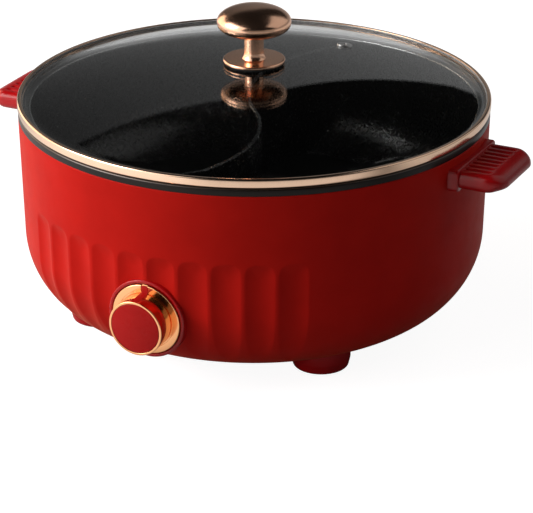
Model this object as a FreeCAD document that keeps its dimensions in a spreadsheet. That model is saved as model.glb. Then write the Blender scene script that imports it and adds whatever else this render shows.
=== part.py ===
"""Electric hot pot with a glass lift-off lid, a divided pan and a front dial.

Millimetres and degrees. +Z is up, the front with the dial faces -Y and the handles
stand at +X and -X. The origin is on the pan's axis, on the surface the feet stand on.
"""
import FreeCAD, Part
import Sketcher
import math
import os
import re

# Driving sizes. Each is one cell of the sheet, and everything else is worked out from them.
SIZES = {
    # Outer shell: a moulded bucket with fluted front and constant wall
    "foot_lift": 8.0,
    "shell_height": 145.5,
    "shell_radius": 169.5,
    "shell_taper": 1.6,
    "shell_corner": 60.0,
    "shell_wall": 2.5,
    "flute_count": 10,
    "flute_pitch": 8.2,
    "flute_width": 21.6,
    "flute_depth": 2.2,
    "flute_top": 102.0,
    "flute_fade": 6.0,
    "flute_sweep": 62.0,
    # Bottom cover in the shell's base
    "cover_radius": 91.7,
    "cover_thick": 2.5,
    "cover_gap": 0.3,
    "cover_ledge": 7.0,
    "vent_count": 12,
    "vent_circle": 42.0,
    "vent_length": 22.0,
    "vent_width": 4.0,
    "vent_round": 1.6,
    # Feet and their rubber pads
    "foot_circle": 116.5,
    "foot_angle": 50.0,
    "foot_radius": 21.0,
    "foot_tip_radius": 19.4,
    "foot_round": 2.5,
    "foot_reach": 30.0,
    "pad_radius": 15.0,
    "pad_thick": 2.0,
    "pad_stand": 1.0,
    "foot_boss_radius": 5.0,
    "foot_boss_height": 30.0,
    "foot_shelf": 7.0,
    # Inner pan with a stepped flange, and its S-shaped divider
    "flange_height": 5.2,
    "flange_round": 1.5,
    "ledge_radius": 164.4,
    "ledge_drop": 2.3,
    "mouth_radius": 160.0,
    "pan_wall": 3.0,
    "pan_taper": 1.6,
    "pan_corner": 28.0,
    "pan_floor": 72.0,
    "pan_base": 3.5,
    "divider_thick": 3.2,
    "divider_bulge": 30.0,
    "divider_drop": 14.0,
    "divider_overrun": 6.0,
    "divider_round": 1.2,
    # Heating under the pan
    "spreader_radius": 112.0,
    "spreader_thick": 6.0,
    "heater_ring": 88.0,
    "heater_radius": 4.0,
    "heater_gap_angle": 34.0,
    "heater_leg": 13.0,
    "terminal_radius": 1.6,
    "terminal_length": 9.0,
    "shield_radius": 119.0,
    "shield_rim": 10.0,
    "shield_sheet": 0.8,
    "shield_level": 36.0,
    "shield_hole": 24.0,
    "pillar_count": 3,
    "pillar_circle": 62.0,
    "pillar_radius": 5.0,
    "pillar_neck": 3.5,
    "clip_radius": 7.0,
    "clip_thick": 0.8,
    "cutout_radius": 8.0,
    "cutout_neck": 5.6,
    "cutout_height": 9.0,
    "cutout_offset": 24.0,
    "strap_width": 15.0,
    "strap_length": 46.0,
    "strap_sheet": 1.0,
    # Handles
    "handle_top": 145.5,
    "grip_thick": 13.0,
    "grip_reach": 205.0,
    "grip_width": 66.0,
    "grip_corner": 14.0,
    "grip_round": 5.2,
    "plate_face": 173.0,
    "plate_width": 70.0,
    "plate_height": 16.0,
    "plate_corner": 3.0,
    "plate_spare": 4.0,
    "groove_count": 8,
    "groove_pitch": 6.8,
    "groove_width": 3.6,
    "groove_depth": 1.0,
    "groove_end": 196.0,
    "handle_screw_angle": 8.6,
    # Dial, its bezel and the thermostat behind it
    "dial_reach": 167.0,
    "dial_height": 55.5,
    "dial_tilt": 3.0,
    "bezel_radius": 29.0,
    "bezel_lip": 2.6,
    "bezel_seat": 4.4,
    "bezel_floor": 2.0,
    "bezel_depth": 24.0,
    "bezel_round": 1.1,
    "seat_backing": 3.0,
    "skirt_radius": 25.8,
    "skirt_thick": 2.5,
    "skirt_gap": 0.5,
    "skirt_groove": 0.9,
    "barrel_radius": 20.2,
    "barrel_length": 15.4,
    "barrel_wall": 2.2,
    "barrel_round": 0.8,
    "dial_floor": 2.2,
    "cap_radius": 18.3,
    "cap_sink": 2.4,
    "cap_crown": 1.0,
    "cap_gap": 0.15,
    "hub_radius": 5.6,
    "pointer_width": 5.2,
    "pointer_depth": 1.2,
    "pointer_inset": 0.2,
    "pointer_end": 1.6,
    "shaft_radius": 3.0,
    "shaft_play": 0.05,
    "shaft_way": 5.2,
    "shaft_grip": 11.0,
    "bush_radius": 4.8,
    "bracket_width": 46.0,
    "bracket_height": 20.0,
    "bracket_sheet": 1.5,
    "bracket_boss": 5.0,
    "bracket_boss_radius": 4.5,
    "thermostat_width": 24.0,
    "thermostat_up": 8.0,
    "thermostat_down": 16.0,
    "thermostat_depth": 21.0,
    "thermostat_screw_span": 32.0,
    # Power inlet at the rear
    "inlet_height": 48.0,
    "inlet_reach": 181.0,
    "inlet_length": 36.0,
    "inlet_width": 46.0,
    "inlet_tall": 28.0,
    "inlet_corner": 8.0,
    "inlet_wall": 3.6,
    "socket_depth": 24.0,
    "inlet_flange_face": 169.5,
    "inlet_flange_depth": 18.0,
    "inlet_flange_width": 70.0,
    "inlet_flange_tall": 36.0,
    "inlet_screw_span": 57.0,
    "pin_radius": 2.2,
    "pin_length": 17.0,
    "pin_tail": 8.0,
    "pin_span": 18.0,
    "pin_rise": 4.0,
    # Lid: glass dome in a rolled steel band
    "lid_gap": 0.3,
    "band_radius": 170.0,
    "band_sheet": 0.8,
    "band_lip": 3.0,
    "band_foot": 4.5,
    "band_round": 1.6,
    "seal_lip": 0.7,
    "seal_side": 1.3,
    "seal_show": 1.3,
    "glass_thick": 4.0,
    "glass_flat": 4.9,
    "dome_rise": 24.1,
    "glass_hole": 4.0,
    "vent_x": 34.0,
    "vent_y": 81.0,
    "eyelet_hole": 1.6,
    "eyelet_radius": 3.2,
    "eyelet_flange": 5.6,
    "eyelet_sheet": 0.7,
    # Knob stack on the lid
    "gasket_radius": 21.0,
    "gasket_thick": 1.2,
    "knob_base_radius": 22.2,
    "knob_base_thick": 2.2,
    "knob_base_round": 0.8,
    "knob_foot_radius": 8.6,
    "knob_flare": 5.0,
    "knob_stem": 7.0,
    "knob_height": 27.4,
    "knob_head": 26.3,
    "knob_crown": 11.1,
    "knob_under": 8.3,
    "washer_radius": 10.0,
    "washer_thick": 1.5,
    # Fasteners
    "screw_play": 0.3,
    "thread_play": 0.05,
    "small_screw": 1.5,
    "small_head": 2.8,
    "small_head_high": 1.1,
    "small_screw_long": 12.0,
    "big_screw": 2.0,
    "big_head": 3.6,
    "big_head_high": 2.2,
    "big_screw_long": 12.0,
    "knob_screw": 2.5,
    "knob_screw_head": 5.0,
    "knob_screw_long": 20.0,
}

# Levels and lengths that follow from the driving sizes, each a formula of them.
FORMULAS = {
    "shell_base": "foot_lift",
    "shell_top": "foot_lift + shell_height",
    "shell_corner_level": "shell_base + shell_corner",
    "shell_corner_x": "shell_radius - (shell_corner + (shell_top - shell_corner_level)"
                      " * sin(shell_taper)) / cos(shell_taper)",
    "flute_round": "(flute_width ^ 2 / 4 + flute_depth ^ 2) / (2 * flute_depth)",
    "flute_path": "shell_corner + flute_round - flute_depth",
    "flute_run": "(flute_top - shell_corner_level) / cos(shell_taper) - flute_width / 2",
    "cover_top": "shell_base + cover_thick",
    "flange_top": "shell_top + flange_height",
    "ledge_level": "flange_top - ledge_drop",
    "flange_drop": "ledge_level - shell_top",
    "pan_under": "pan_floor - pan_base",
    "spreader_under": "pan_under - spreader_thick",
    "band_base": "flange_top + lid_gap",
    "glass_under": "band_base + band_sheet + seal_lip",
    "glass_edge_top": "glass_under + glass_thick",
    "band_top": "glass_edge_top + seal_lip + band_sheet",
    "glass_radius": "band_radius - band_sheet - seal_side",
    "dome_edge": "glass_radius - glass_flat",
    "dome_round": "(dome_edge ^ 2 + dome_rise ^ 2) / (2 * dome_rise)",
    "dome_top": "glass_edge_top + dome_rise",
    "dome_centre": "dome_top - dome_round",
    "dome_inner": "dome_round - glass_thick",
    "gasket_top": "dome_top + gasket_thick",
    "knob_seat": "gasket_top + knob_base_thick",
    "knob_middle": "knob_seat + knob_height",
    "vent_distance": "sqrt(vent_x ^ 2 + vent_y ^ 2)",
    "skirt_back": "bezel_floor + skirt_gap - bezel_seat",
    "skirt_face": "skirt_back + skirt_thick",
    "barrel_face": "skirt_face + barrel_length",
    "cap_floor": "barrel_face - cap_sink",
    "seat_back": "0 - bezel_seat - seat_backing",
    "bracket_front": "seat_back - bracket_boss",
    "bracket_back": "bracket_front - bracket_sheet",
    "divider_top": "band_top - divider_drop",
    "divider_half": "mouth_radius / 2",
    "divider_curve": "(divider_half ^ 2 + divider_bulge ^ 2) / (2 * divider_bulge)",
    "divider_centre": "divider_curve - divider_bulge",
    "grip_under": "handle_top - grip_thick",
    "grip_middle": "handle_top - grip_thick / 2",
    "plate_depth": "plate_face - sqrt(shell_radius ^ 2 - plate_width ^ 2 / 4) + shell_wall"
                   " + plate_spare",
    "pad_top": "pad_thick",
    "head_round": "big_head_high / 3",
    "band_fold": "band_round + band_sheet * (sqrt(2) - 1)",
    "inlet_way_depth": "inlet_reach / 2",
}

doc = FreeCAD.newDocument("HotPot")
sheet = doc.addObject("Spreadsheet::Sheet", "Sizes")
pieces = []


def fill_sheet():
    """Write every driving size into its own cell, with its name beside it."""
    for row, (name, number) in enumerate(SIZES.items(), start=1):
        sheet.set(f"A{row}", name)
        sheet.set(f"B{row}", str(number))
        sheet.setAlias(f"B{row}", name)
    doc.recompute()


def spelled_out(text):
    """Replace each formula's name in an expression by the formula itself."""
    def swap(found):
        word = found.group(0)
        return f"({spelled_out(FORMULAS[word])})" if word in FORMULAS else word
    return re.sub(r"[a-z][a-z_]*[a-z]", swap, text)


def tied(text):
    """The expression with each size pointing at its cell of the sheet."""
    def point(found):
        word = found.group(0)
        return f"Sizes.{word}" if word in SIZES else word
    return re.sub(r"[a-z][a-z_]*[a-z]", point, spelled_out(text))


def value(text):
    """The number that an expression of sizes has now."""
    return float(sheet.evalExpression(spelled_out(str(text))))


def bind(thing, prop, text):
    """Tie a property of an object to an expression of sizes."""
    thing.setExpression(prop, tied(str(text)))


def new_body(name):
    """A body that may hold several separate solids."""
    body = doc.addObject("PartDesign::Body", name)
    body.AllowCompound = True
    return body


def new_sketch(body, role, name):
    """A sketch on one of the body's own origin planes."""
    sketch = body.newObject("Sketcher::SketchObject", name)
    plane = next(item for item in body.Origin.OriginFeatures if item.Role == role)
    sketch.AttachmentSupport = [(plane, "")]
    sketch.MapMode = "FlatFace"
    return sketch


def pin_vertex(sketch, geometry, vertex, x, y):
    """Hold one vertex of a sketch at bound distances from the sketch's origin."""
    for kind, axis, text in (("DistanceX", -2, x), ("DistanceY", -1, y)):
        if str(text) == "0":
            sketch.addConstraint(Sketcher.Constraint("PointOnObject", geometry, vertex, axis))
            continue
        index = sketch.addConstraint(
            Sketcher.Constraint(kind, -1, 1, geometry, vertex, value(text)))
        bind(sketch, f"Constraints[{index}]", text)


def arc_between(start, end, radius, left):
    """The arc of under half a circle from start to end, turning left or right."""
    chord = end - start
    rise = math.sqrt(radius ** 2 - (chord.Length / 2) ** 2)
    side = FreeCAD.Vector(-chord.y, chord.x, 0).normalize() * (rise if left else -rise)
    centre = (start + end) * 0.5 + side
    first, last = (start, end) if left else (end, start)
    angles = [math.atan2(p.y - centre.y, p.x - centre.x) for p in (first, last)]
    circle = Part.Circle(centre, FreeCAD.Vector(0, 0, 1), radius)
    return Part.ArcOfCircle(circle, angles[0], angles[1])


def draw_outline(sketch, corners):
    """A closed outline: each corner is (x, y) or (x, y, radius, "left" or "right"),
    where the last two make the stretch to the next corner an arc."""
    points = [FreeCAD.Vector(value(c[0]), value(c[1]), 0) for c in corners]
    ends = []
    for index, corner in enumerate(corners):
        start = points[index]
        end = points[(index + 1) % len(points)]
        if len(corner) == 2:
            geometry = sketch.addGeometry(Part.LineSegment(start, end), False)
            ends.append((geometry, 1, 2))
            continue
        left = corner[3] == "left"
        arc = arc_between(start, end, value(corner[2]), left)
        geometry = sketch.addGeometry(arc, False)
        ends.append((geometry, 1, 2) if left else (geometry, 2, 1))
    for index, (geometry, first, _) in enumerate(ends):
        before, _, last = ends[index - 1]
        sketch.addConstraint(Sketcher.Constraint("Coincident", before, last, geometry, first))
        pin_vertex(sketch, geometry, first, corners[index][0], corners[index][1])
    for index, corner in enumerate(corners):
        if len(corner) > 2:
            number = sketch.addConstraint(
                Sketcher.Constraint("Radius", ends[index][0], value(corner[2])))
            bind(sketch, f"Constraints[{number}]", corner[2])


def rounded_rectangle(width, height, corner, x="0", y="0"):
    """Corners of a rectangle with round corners about a point."""
    w, h, r = f"({width}) / 2", f"({height}) / 2", f"({corner})"
    return [
        (f"{x} - {w} + {r}", f"{y} - {h}"), (f"{x} + {w} - {r}", f"{y} - {h}", corner, "left"),
        (f"{x} + {w}", f"{y} - {h} + {r}"), (f"{x} + {w}", f"{y} + {h} - {r}", corner, "left"),
        (f"{x} + {w} - {r}", f"{y} + {h}"), (f"{x} - {w} + {r}", f"{y} + {h}", corner, "left"),
        (f"{x} - {w}", f"{y} + {h} - {r}"), (f"{x} - {w}", f"{y} - {h} + {r}", corner, "left"),
    ]


def turned(name, corners):
    """A body turned about its Z axis from an outline of (radius, height) corners."""
    body = new_body(name)
    sketch = new_sketch(body, "XZ_Plane", name + "_outline")
    draw_outline(sketch, corners)
    turn = body.newObject("PartDesign::Revolution", name + "_turn")
    turn.Profile = sketch
    turn.ReferenceAxis = (sketch, ["V_Axis"])
    turn.Angle = 360
    return body


def padded(body, name, corners, low, high, kind="PartDesign::Pad", role="XY_Plane"):
    """Raise, or with a Pocket cut, an outline between two heights of its plane's normal."""
    sketch = new_sketch(body, role, name + "_outline")
    draw_outline(sketch, corners)
    bind(sketch, "AttachmentOffset.Base.z", low)
    feature = body.newObject(kind, name)
    feature.Profile = sketch
    bind(feature, "Length", f"({high}) - ({low})")
    if kind == "PartDesign::Pocket":
        feature.Reversed = True
    return feature


def primitive(body, kind, name, sizes, place):
    """A primitive feature of a body with bound sizes and a bound base point."""
    feature = body.newObject(kind, name)
    for prop, text in sizes.items():
        bind(feature, prop, text)
    for axis, text in zip("xyz", place):
        bind(feature, f"Placement.Base.{axis}", text)
    return feature


def patterned(body, feature, count):
    """Repeat a feature evenly about the body's Z axis."""
    axis = next(item for item in body.Origin.OriginFeatures if item.Role == "Z_Axis")
    pattern = body.newObject("PartDesign::PolarPattern", feature.Name + "_pattern")
    pattern.Originals = [feature]
    pattern.Axis = (axis, [""])
    pattern.Angle = 360
    bind(pattern, "Occurrences", count)
    body.Tip = pattern


def round_rings(body, radius, rings):
    """Round the circular edges of a turned body, named by their radius and height."""
    base = body.Tip
    doc.recompute([base])
    names = []
    for ring_radius, ring_height in rings:
        r, z = value(ring_radius), value(ring_height)
        for number, edge in enumerate(base.Shape.Edges, start=1):
            curve = edge.Curve
            if not isinstance(curve, Part.Circle):
                continue
            if abs(curve.Radius - r) < 1e-4 and abs(curve.Center.z - z) < 1e-4:
                names.append(f"Edge{number}")
    fillet = body.newObject("PartDesign::Fillet", body.Name + "_round_" + str(len(body.Group)))
    fillet.Base = (base, names)
    bind(fillet, "Radius", radius)
    return fillet


def round_edges(body, radius, chosen):
    """Round every edge of a body for which chosen(edge) is true."""
    base = body.Tip
    doc.recompute([base])
    names = [f"Edge{number}" for number, edge in enumerate(base.Shape.Edges, start=1)
             if chosen(edge)]
    fillet = body.newObject("PartDesign::Fillet", body.Name + "_round_" + str(len(body.Group)))
    fillet.Base = (base, names)
    bind(fillet, "Radius", radius)
    return fillet


def place(thing, x="0", y="0", z="0", axis=(0, 0, 1), angle="0"):
    """Bind where an object stands and how far it is turned about a fixed axis."""
    thing.Placement = FreeCAD.Placement(
        FreeCAD.Vector(value(x), value(y), value(z)),
        FreeCAD.Rotation(FreeCAD.Vector(*axis), value(angle)))
    for name, text in (("x", x), ("y", y), ("z", z)):
        if str(text) != "0":
            bind(thing, f"Placement.Base.{name}", text)
    if str(angle) != "0":
        bind(thing, "Placement.Rotation.Angle", angle)
    return thing


def on_dial_axis(thing):
    """Stand an object on the dial's axis: its Z points out of the front, a little down."""
    return place(thing, "0", "0 - dial_reach", "dial_height", (1, 0, 0), "90 + dial_tilt")


def on_inlet_axis(thing):
    """Stand an object at the inlet: its Z points out of the rear, its origin on the mouth."""
    return place(thing, "0", "inlet_reach", "inlet_height", (1, 0, 0), "0 - 90")


def joined(name, *parts):
    """One solid made of several."""
    fuse = doc.addObject("Part::MultiFuse", name)
    fuse.Shapes = list(parts)
    return fuse


def cut(name, base, tool):
    """A solid less another."""
    result = doc.addObject("Part::Cut", name)
    result.Base = base
    result.Tool = tool
    return result


def shared(name, first, second):
    """What two solids have in common."""
    result = doc.addObject("Part::Common", name)
    result.Base = first
    result.Tool = second
    return result


def grouped(name, parts):
    """Several separate solids as one piece of the list."""
    group = doc.addObject("Part::Compound", name)
    group.Links = list(parts)
    return group


def piece(name, thing):
    """Enter an object in the list of pieces under the name of its file."""
    thing.Label = name
    pieces.append(thing)
    return thing


def cup_corners(top_radius, top_level, base_level, corner, taper):
    """Half outline of a tapered cup from its axis at the base up to its top edge:
    flat base, corner arc tangent to both, straight tapered wall."""
    centre_level = f"({base_level} + {corner})"
    centre_x = (f"({top_radius} - ({corner} + ({top_level} - {centre_level}) * sin({taper}))"
                f" / cos({taper}))")
    return [
        ("0", base_level),
        (centre_x, base_level, corner, "left"),
        (f"{centre_x} + {corner} * cos({taper})", f"{centre_level} - {corner} * sin({taper})"),
        (top_radius, top_level),
    ]


def flute_cutter(name, growth):
    """Cutter of one flute at +X, grown by a wall: round-topped, straight along the tapered
    wall, and bending in under the base, where it slowly leaves the surface."""
    ball = doc.addObject("Part::Sphere", name + "_top")
    bind(ball, "Radius", f"flute_round + {growth}")
    place(ball, "flute_path", "0", "flute_run")
    run = doc.addObject("Part::Cylinder", name + "_run")
    bind(run, "Radius", f"flute_round + {growth}")
    bind(run, "Height", "flute_run")
    place(run, "flute_path")
    bend = doc.addObject("Part::Torus", name + "_bend")
    bind(bend, "Radius1", "flute_path + flute_fade")
    bind(bend, "Radius2", f"flute_round + {growth}")
    bind(bend, "Angle3", "flute_sweep")
    place(bend, "0 - flute_fade", "0", "0", (1, 0, 0), "0 - 90")
    cutter = joined(name, ball, run, bend)
    place(cutter, "shell_corner_x", "0", "shell_corner_level", (0, 1, 0), "shell_taper")
    return cutter


def fluted(name, form, growth):
    """A form less its row of flutes, centred on the front."""
    cutter = flute_cutter(name + "_flute", growth)
    result = form
    count = int(value("flute_count"))
    for number in range(count):
        turned_cutter = grouped(f"{name}_flute_{number}", [cutter])
        place(turned_cutter, angle=f"flute_pitch * ({number} - (flute_count - 1) / 2) - 90")
        result = cut(f"{name}_{number}", result, turned_cutter)
    return result


def outer_form():
    """The shell's outside as a solid, with the flutes and the dial's round seat cut in."""
    form = turned("shell_form", cup_corners(
        "shell_radius", "shell_top", "shell_base", "shell_corner", "shell_taper")
        + [("0", "shell_top")])
    form = fluted("shell_fluted", form, "0")
    seat = doc.addObject("Part::Cylinder", "bezel_seat_cutter")
    bind(seat, "Radius", "bezel_radius")
    bind(seat, "Height", "bezel_depth")
    place(seat, "0", "0 - (dial_reach - bezel_seat * cos(dial_tilt))",
          "dial_height + bezel_seat * sin(dial_tilt)", (1, 0, 0), "90 + dial_tilt")
    return cut("shell_outside", form, seat)


def foot_angles():
    """The four feet's directions about the axis, each with its name."""
    return {
        "foot_front_right": "0 - 90 + foot_angle",
        "foot_front_left": "0 - 90 - foot_angle",
        "foot_rear_right": "90 - foot_angle",
        "foot_rear_left": "90 + foot_angle",
    }


def at_foot(thing, angle):
    """Stand an object on a foot's axis."""
    return place(thing, f"foot_circle * cos({angle})", f"foot_circle * sin({angle})")


def standing_cylinder(name, radius, low, high):
    """An upright cylinder between two levels."""
    solid = doc.addObject("Part::Cylinder", name)
    bind(solid, "Radius", radius)
    bind(solid, "Height", f"({high}) - ({low})")
    place(solid, z=low)
    return solid


def shell_bosses():
    """What stands inside the shell: the dial seat's backing with two bosses for the
    thermostat's bracket, four foot bosses and the thick ring round the base opening."""
    backing = doc.addObject("Part::Cylinder", "seat_backing_disc")
    bind(backing, "Radius", "bezel_radius + shell_wall")
    bind(backing, "Height", "bezel_depth")
    place(backing, "0", "0 - (dial_reach + (seat_back) * cos(dial_tilt))",
          "dial_height - (seat_back) * sin(dial_tilt)", (1, 0, 0), "90 + dial_tilt")
    bosses = [backing]
    for side in (-1, 1):
        boss = turned(f"bracket_boss_{side + 1}", [
            ("0", "bracket_front"), ("bracket_boss_radius", "bracket_front"),
            ("bracket_boss_radius", "0"), ("0", "0")])
        bosses.append(beside_dial(boss, side))
    for name, angle in foot_angles().items():
        boss = standing_cylinder(name + "_boss", "foot_boss_radius", "0", "foot_boss_height")
        bosses.append(at_foot(boss, angle))
    ring = turned("base_ring", [
        ("cover_radius - cover_ledge", "0"), ("cover_radius + shell_wall", "0"),
        ("cover_radius + shell_wall", "cover_top + shell_wall"),
        ("cover_radius - cover_ledge", "cover_top + shell_wall")])
    bosses.append(ring)
    return joined("shell_inner_bosses", *bosses)


def shell_holes():
    """Every hole through the shell: base opening and cover recess, shaft way, screws, inlet."""
    holes = [
        standing_cylinder("base_opening", "cover_radius - cover_ledge", "0", "pan_under / 2"),
        standing_cylinder("cover_recess", "cover_radius + cover_gap", "0", "cover_top"),
        on_dial_axis(turned("shaft_way_hole", [
            ("0", "0 - bezel_depth"), ("shaft_way", "0 - bezel_depth"),
            ("shaft_way", "bezel_depth"), ("0", "bezel_depth")])),
    ]
    for side in (-1, 1):
        hole = turned(f"thermostat_screw_hole_{side + 1}", [
            ("0", "0 - bezel_depth"), ("small_screw + screw_play", "0 - bezel_depth"),
            ("small_screw + screw_play", "bezel_depth"), ("0", "bezel_depth")])
        holes.append(beside_dial(hole, side))
        holes.append(inlet_screw_hole("shell_inlet_hole", side))
    for name, angle in foot_angles().items():
        hole = standing_cylinder(name + "_hole", "big_screw + thread_play", "0",
                                 "foot_shelf + big_screw_long")
        holes.append(at_foot(hole, angle))
    for number, angle in enumerate(handle_screw_angles()):
        hole = lying_turned(f"handle_hole_{number}", [
            ("plate_face - plate_depth", "0"), ("plate_face", "0"),
            ("plate_face", "big_screw + screw_play"),
            ("plate_face - plate_depth", "big_screw + screw_play")])
        holes.append(place(hole, z="grip_middle", angle=angle))
    way = new_body("inlet_way")
    padded(way, "inlet_way_block", rounded_rectangle(
        "inlet_width + 2 * screw_play", "inlet_tall + 2 * screw_play", "inlet_corner"),
        "0 - inlet_way_depth", "0")
    holes.append(on_inlet_axis(way))
    return joined("shell_hole_set", *holes)


def lying_turned(name, corners):
    """A body turned about its X axis from an outline of (distance, radius) corners."""
    body = new_body(name)
    sketch = new_sketch(body, "XZ_Plane", name + "_outline")
    draw_outline(sketch, corners)
    turn = body.newObject("PartDesign::Revolution", name + "_turn")
    turn.Profile = sketch
    turn.ReferenceAxis = (sketch, ["H_Axis"])
    turn.Angle = 360
    return body


def beside_dial(thing, side):
    """Stand an object beside the dial's axis, where a thermostat screw goes."""
    on_dial_axis(thing)
    bind(thing, "Placement.Base.x", f"{side} * thermostat_screw_span / 2")
    return thing


def beside_inlet(thing, side):
    """Stand an object beside the inlet's axis, where a flange screw goes."""
    on_inlet_axis(thing)
    bind(thing, "Placement.Base.x", f"{side} * inlet_screw_span / 2")
    return thing


def inlet_screw_hole(name, side):
    """Hole of one inlet screw, through the flange and on into the shell."""
    depth = "(inlet_reach - inlet_flange_face + inlet_flange_depth + big_screw_long)"
    hole = turned(f"{name}_{side + 1}", [
        ("0", f"0 - {depth}"), ("big_screw + thread_play", f"0 - {depth}"),
        ("big_screw + thread_play", "0"), ("0", "0")])
    return beside_inlet(hole, side)


def outer_shell(outside):
    """The moulded shell: its outside less an inside that follows the flutes, so that the
    wall stays as thick everywhere, with bosses left standing and holes cut."""
    inside = turned("shell_inside_form", cup_corners(
        "(shell_radius - shell_wall / cos(shell_taper))", "shell_top",
        "(shell_base + shell_wall)", "(shell_corner - shell_wall)", "shell_taper")
        + [("0", "shell_top")])
    inside = fluted("shell_inside", inside, "shell_wall")
    inside = cut("shell_void", inside, shell_bosses())
    hollow = cut("shell_hollow", outside, inside)
    return piece("outer_shell", cut("outer_shell", hollow, shell_holes()))


def bottom_cover():
    """Disc that closes the base, with a ring of vents and holes for its screws."""
    body = turned("bottom_cover", [
        ("0", "shell_base"), ("cover_radius", "shell_base"),
        ("cover_radius", "cover_top"), ("0", "cover_top")])
    vent = padded(body, "cover_vent", rounded_rectangle(
        "vent_length", "vent_width", "vent_round", x="vent_circle"),
        "0", "cover_top", "PartDesign::Pocket")
    patterned(body, vent, "vent_count")
    hole = primitive(body, "PartDesign::SubtractiveCylinder", "cover_screw_hole",
                     {"Radius": "big_screw + screw_play", "Height": "cover_top"},
                     ("pillar_circle", "0", "0"))
    patterned(body, hole, "pillar_count")
    place(body, angle="360 / vent_count / 2")
    return piece("bottom_cover", body)


def pillar_places():
    """Directions of the pillars about the axis, midway between two vents."""
    return [f"360 / vent_count / 2 + {number} * 360 / pillar_count"
            for number in range(int(value("pillar_count")))]


def at_pillar(thing, angle):
    """Stand an object on a pillar's axis."""
    return place(thing, f"pillar_circle * cos({angle})", f"pillar_circle * sin({angle})")


def pillars():
    """Shouldered posts from the cover up to the spreader plate, their screws and the clips
    that hold the shield down on the shoulders."""
    posts, screws, clips = [], [], []
    for number, angle in enumerate(pillar_places()):
        posts.append(at_pillar(turned(f"pillar_{number}", [
            ("big_screw + thread_play", "cover_top"), ("pillar_radius", "cover_top"),
            ("pillar_radius", "shield_level"), ("pillar_neck", "shield_level"),
            ("pillar_neck", "spreader_under"), ("0", "spreader_under"),
            ("0", "cover_top + big_screw_long"),
            ("big_screw + thread_play", "cover_top + big_screw_long")]), angle))
        screws.append(at_pillar(upright_screw(
            f"cover_screw_{number}", "shell_base", "shell_base + big_screw_long"), angle))
        clips.append(at_pillar(turned(f"shield_clip_{number}", [
            ("pillar_neck", "shield_level + shield_sheet"),
            ("clip_radius", "shield_level + shield_sheet"),
            ("clip_radius", "shield_level + shield_sheet + clip_thick"),
            ("pillar_neck", "shield_level + shield_sheet + clip_thick")]), angle))
    piece("pan_pillars", grouped("pan_pillars", posts))
    piece("cover_screws", grouped("cover_screws", screws))
    piece("shield_clips", grouped("shield_clips", clips))


def upright_screw(name, seat, tip):
    """A pan-head screw pointing up, its head's flat face at the seat level."""
    body = turned(name, [
        ("0", f"{seat} - big_head_high"), ("big_head", f"{seat} - big_head_high"),
        ("big_head", seat), ("big_screw", seat), ("big_screw", tip), ("0", tip)])
    round_rings(body, "head_round", [("big_head", f"{seat} - big_head_high")])
    return body


def feet(outside):
    """Four feet cut to the shell's outside, their rubber pads and the screws under them."""
    pads, screws = [], []
    for name, angle in foot_angles().items():
        blank = turned(name + "_blank", [
            ("big_screw + screw_play", "foot_shelf"), ("big_head + screw_play", "foot_shelf"),
            ("big_head + screw_play", "pad_top"), ("pad_radius", "pad_top"),
            ("pad_radius", "pad_stand"), ("foot_tip_radius", "pad_stand"),
            ("foot_radius", "shell_base"), ("foot_radius", "foot_reach"),
            ("big_screw + screw_play", "foot_reach")])
        round_rings(blank, "foot_round", [("foot_tip_radius", "pad_stand")])
        at_foot(blank, angle)
        piece(name, cut(name, blank, outside))
        pads.append(at_foot(standing_cylinder(name + "_pad", "pad_radius", "0", "pad_top"),
                            angle))
        screws.append(at_foot(upright_screw(
            name + "_screw", "foot_shelf", "foot_shelf + big_screw_long"), angle))
    piece("foot_pads", grouped("foot_pads", pads))
    piece("foot_screws", grouped("foot_screws", screws))


def pan_inside():
    """The pan's hollow up to its ledge, as a solid."""
    return cup_corners("mouth_radius", "ledge_level", "pan_floor", "pan_corner", "pan_taper")


def inner_pan():
    """Cast pan: stepped flange on the shell's edge, tapered wall and wide corner."""
    under = cup_corners(
        "(mouth_radius + pan_wall / cos(pan_taper) - flange_drop * tan(pan_taper))",
        "shell_top", "pan_under", "(pan_corner + pan_wall)", "pan_taper")
    hollow = pan_inside()
    down = [(hollow[3][0], hollow[3][1]), (hollow[2][0], hollow[2][1], "pan_corner", "right"),
            (hollow[1][0], hollow[1][1]), hollow[0]]
    body = turned("inner_pan", under + [
        ("shell_radius", "shell_top"), ("shell_radius", "flange_top"),
        ("ledge_radius", "flange_top"), ("ledge_radius", "ledge_level")] + down)
    round_rings(body, "flange_round", [("shell_radius", "flange_top")])
    round_rings(body, "ledge_drop / 3", [("ledge_radius", "flange_top"),
                                         ("mouth_radius", "ledge_level")])
    return piece("inner_pan", body)


def pan_divider():
    """S-shaped wall across the pan: one curved half repeated half a turn on, cut to the
    pan's inside so that it meets floor, corner and wall."""
    body = new_body("divider_wall")
    inner = "(divider_curve - divider_thick / 2)"
    outer = "(divider_curve + divider_thick / 2)"
    start = "(180 + asin(divider_half / divider_curve) / 1 deg)"
    stop = "(180 - asin(divider_half / divider_curve) / 1 deg - divider_overrun)"

    def corner(radius, angle, *arc):
        return (f"divider_centre + {radius} * cos({angle})",
                f"divider_half + {radius} * sin({angle})", *arc)

    half = padded(body, "divider_half_wall", [
        corner(outer, start, outer, "right"), corner(outer, stop),
        corner(inner, stop, inner, "left"), corner(inner, start)],
        "pan_floor - pan_base", "divider_top")
    patterned(body, half, "2")
    top = value("divider_top")
    round_edges(body, "divider_round", lambda edge: isinstance(edge.Curve, Part.Circle)
                and abs(edge.BoundBox.ZMin - top) < 1e-4 and edge.BoundBox.ZLength < 1e-4)
    room = turned("divider_room", pan_inside() + [("0", "ledge_level")])
    return piece("pan_divider", shared("pan_divider", body, room))


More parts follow.
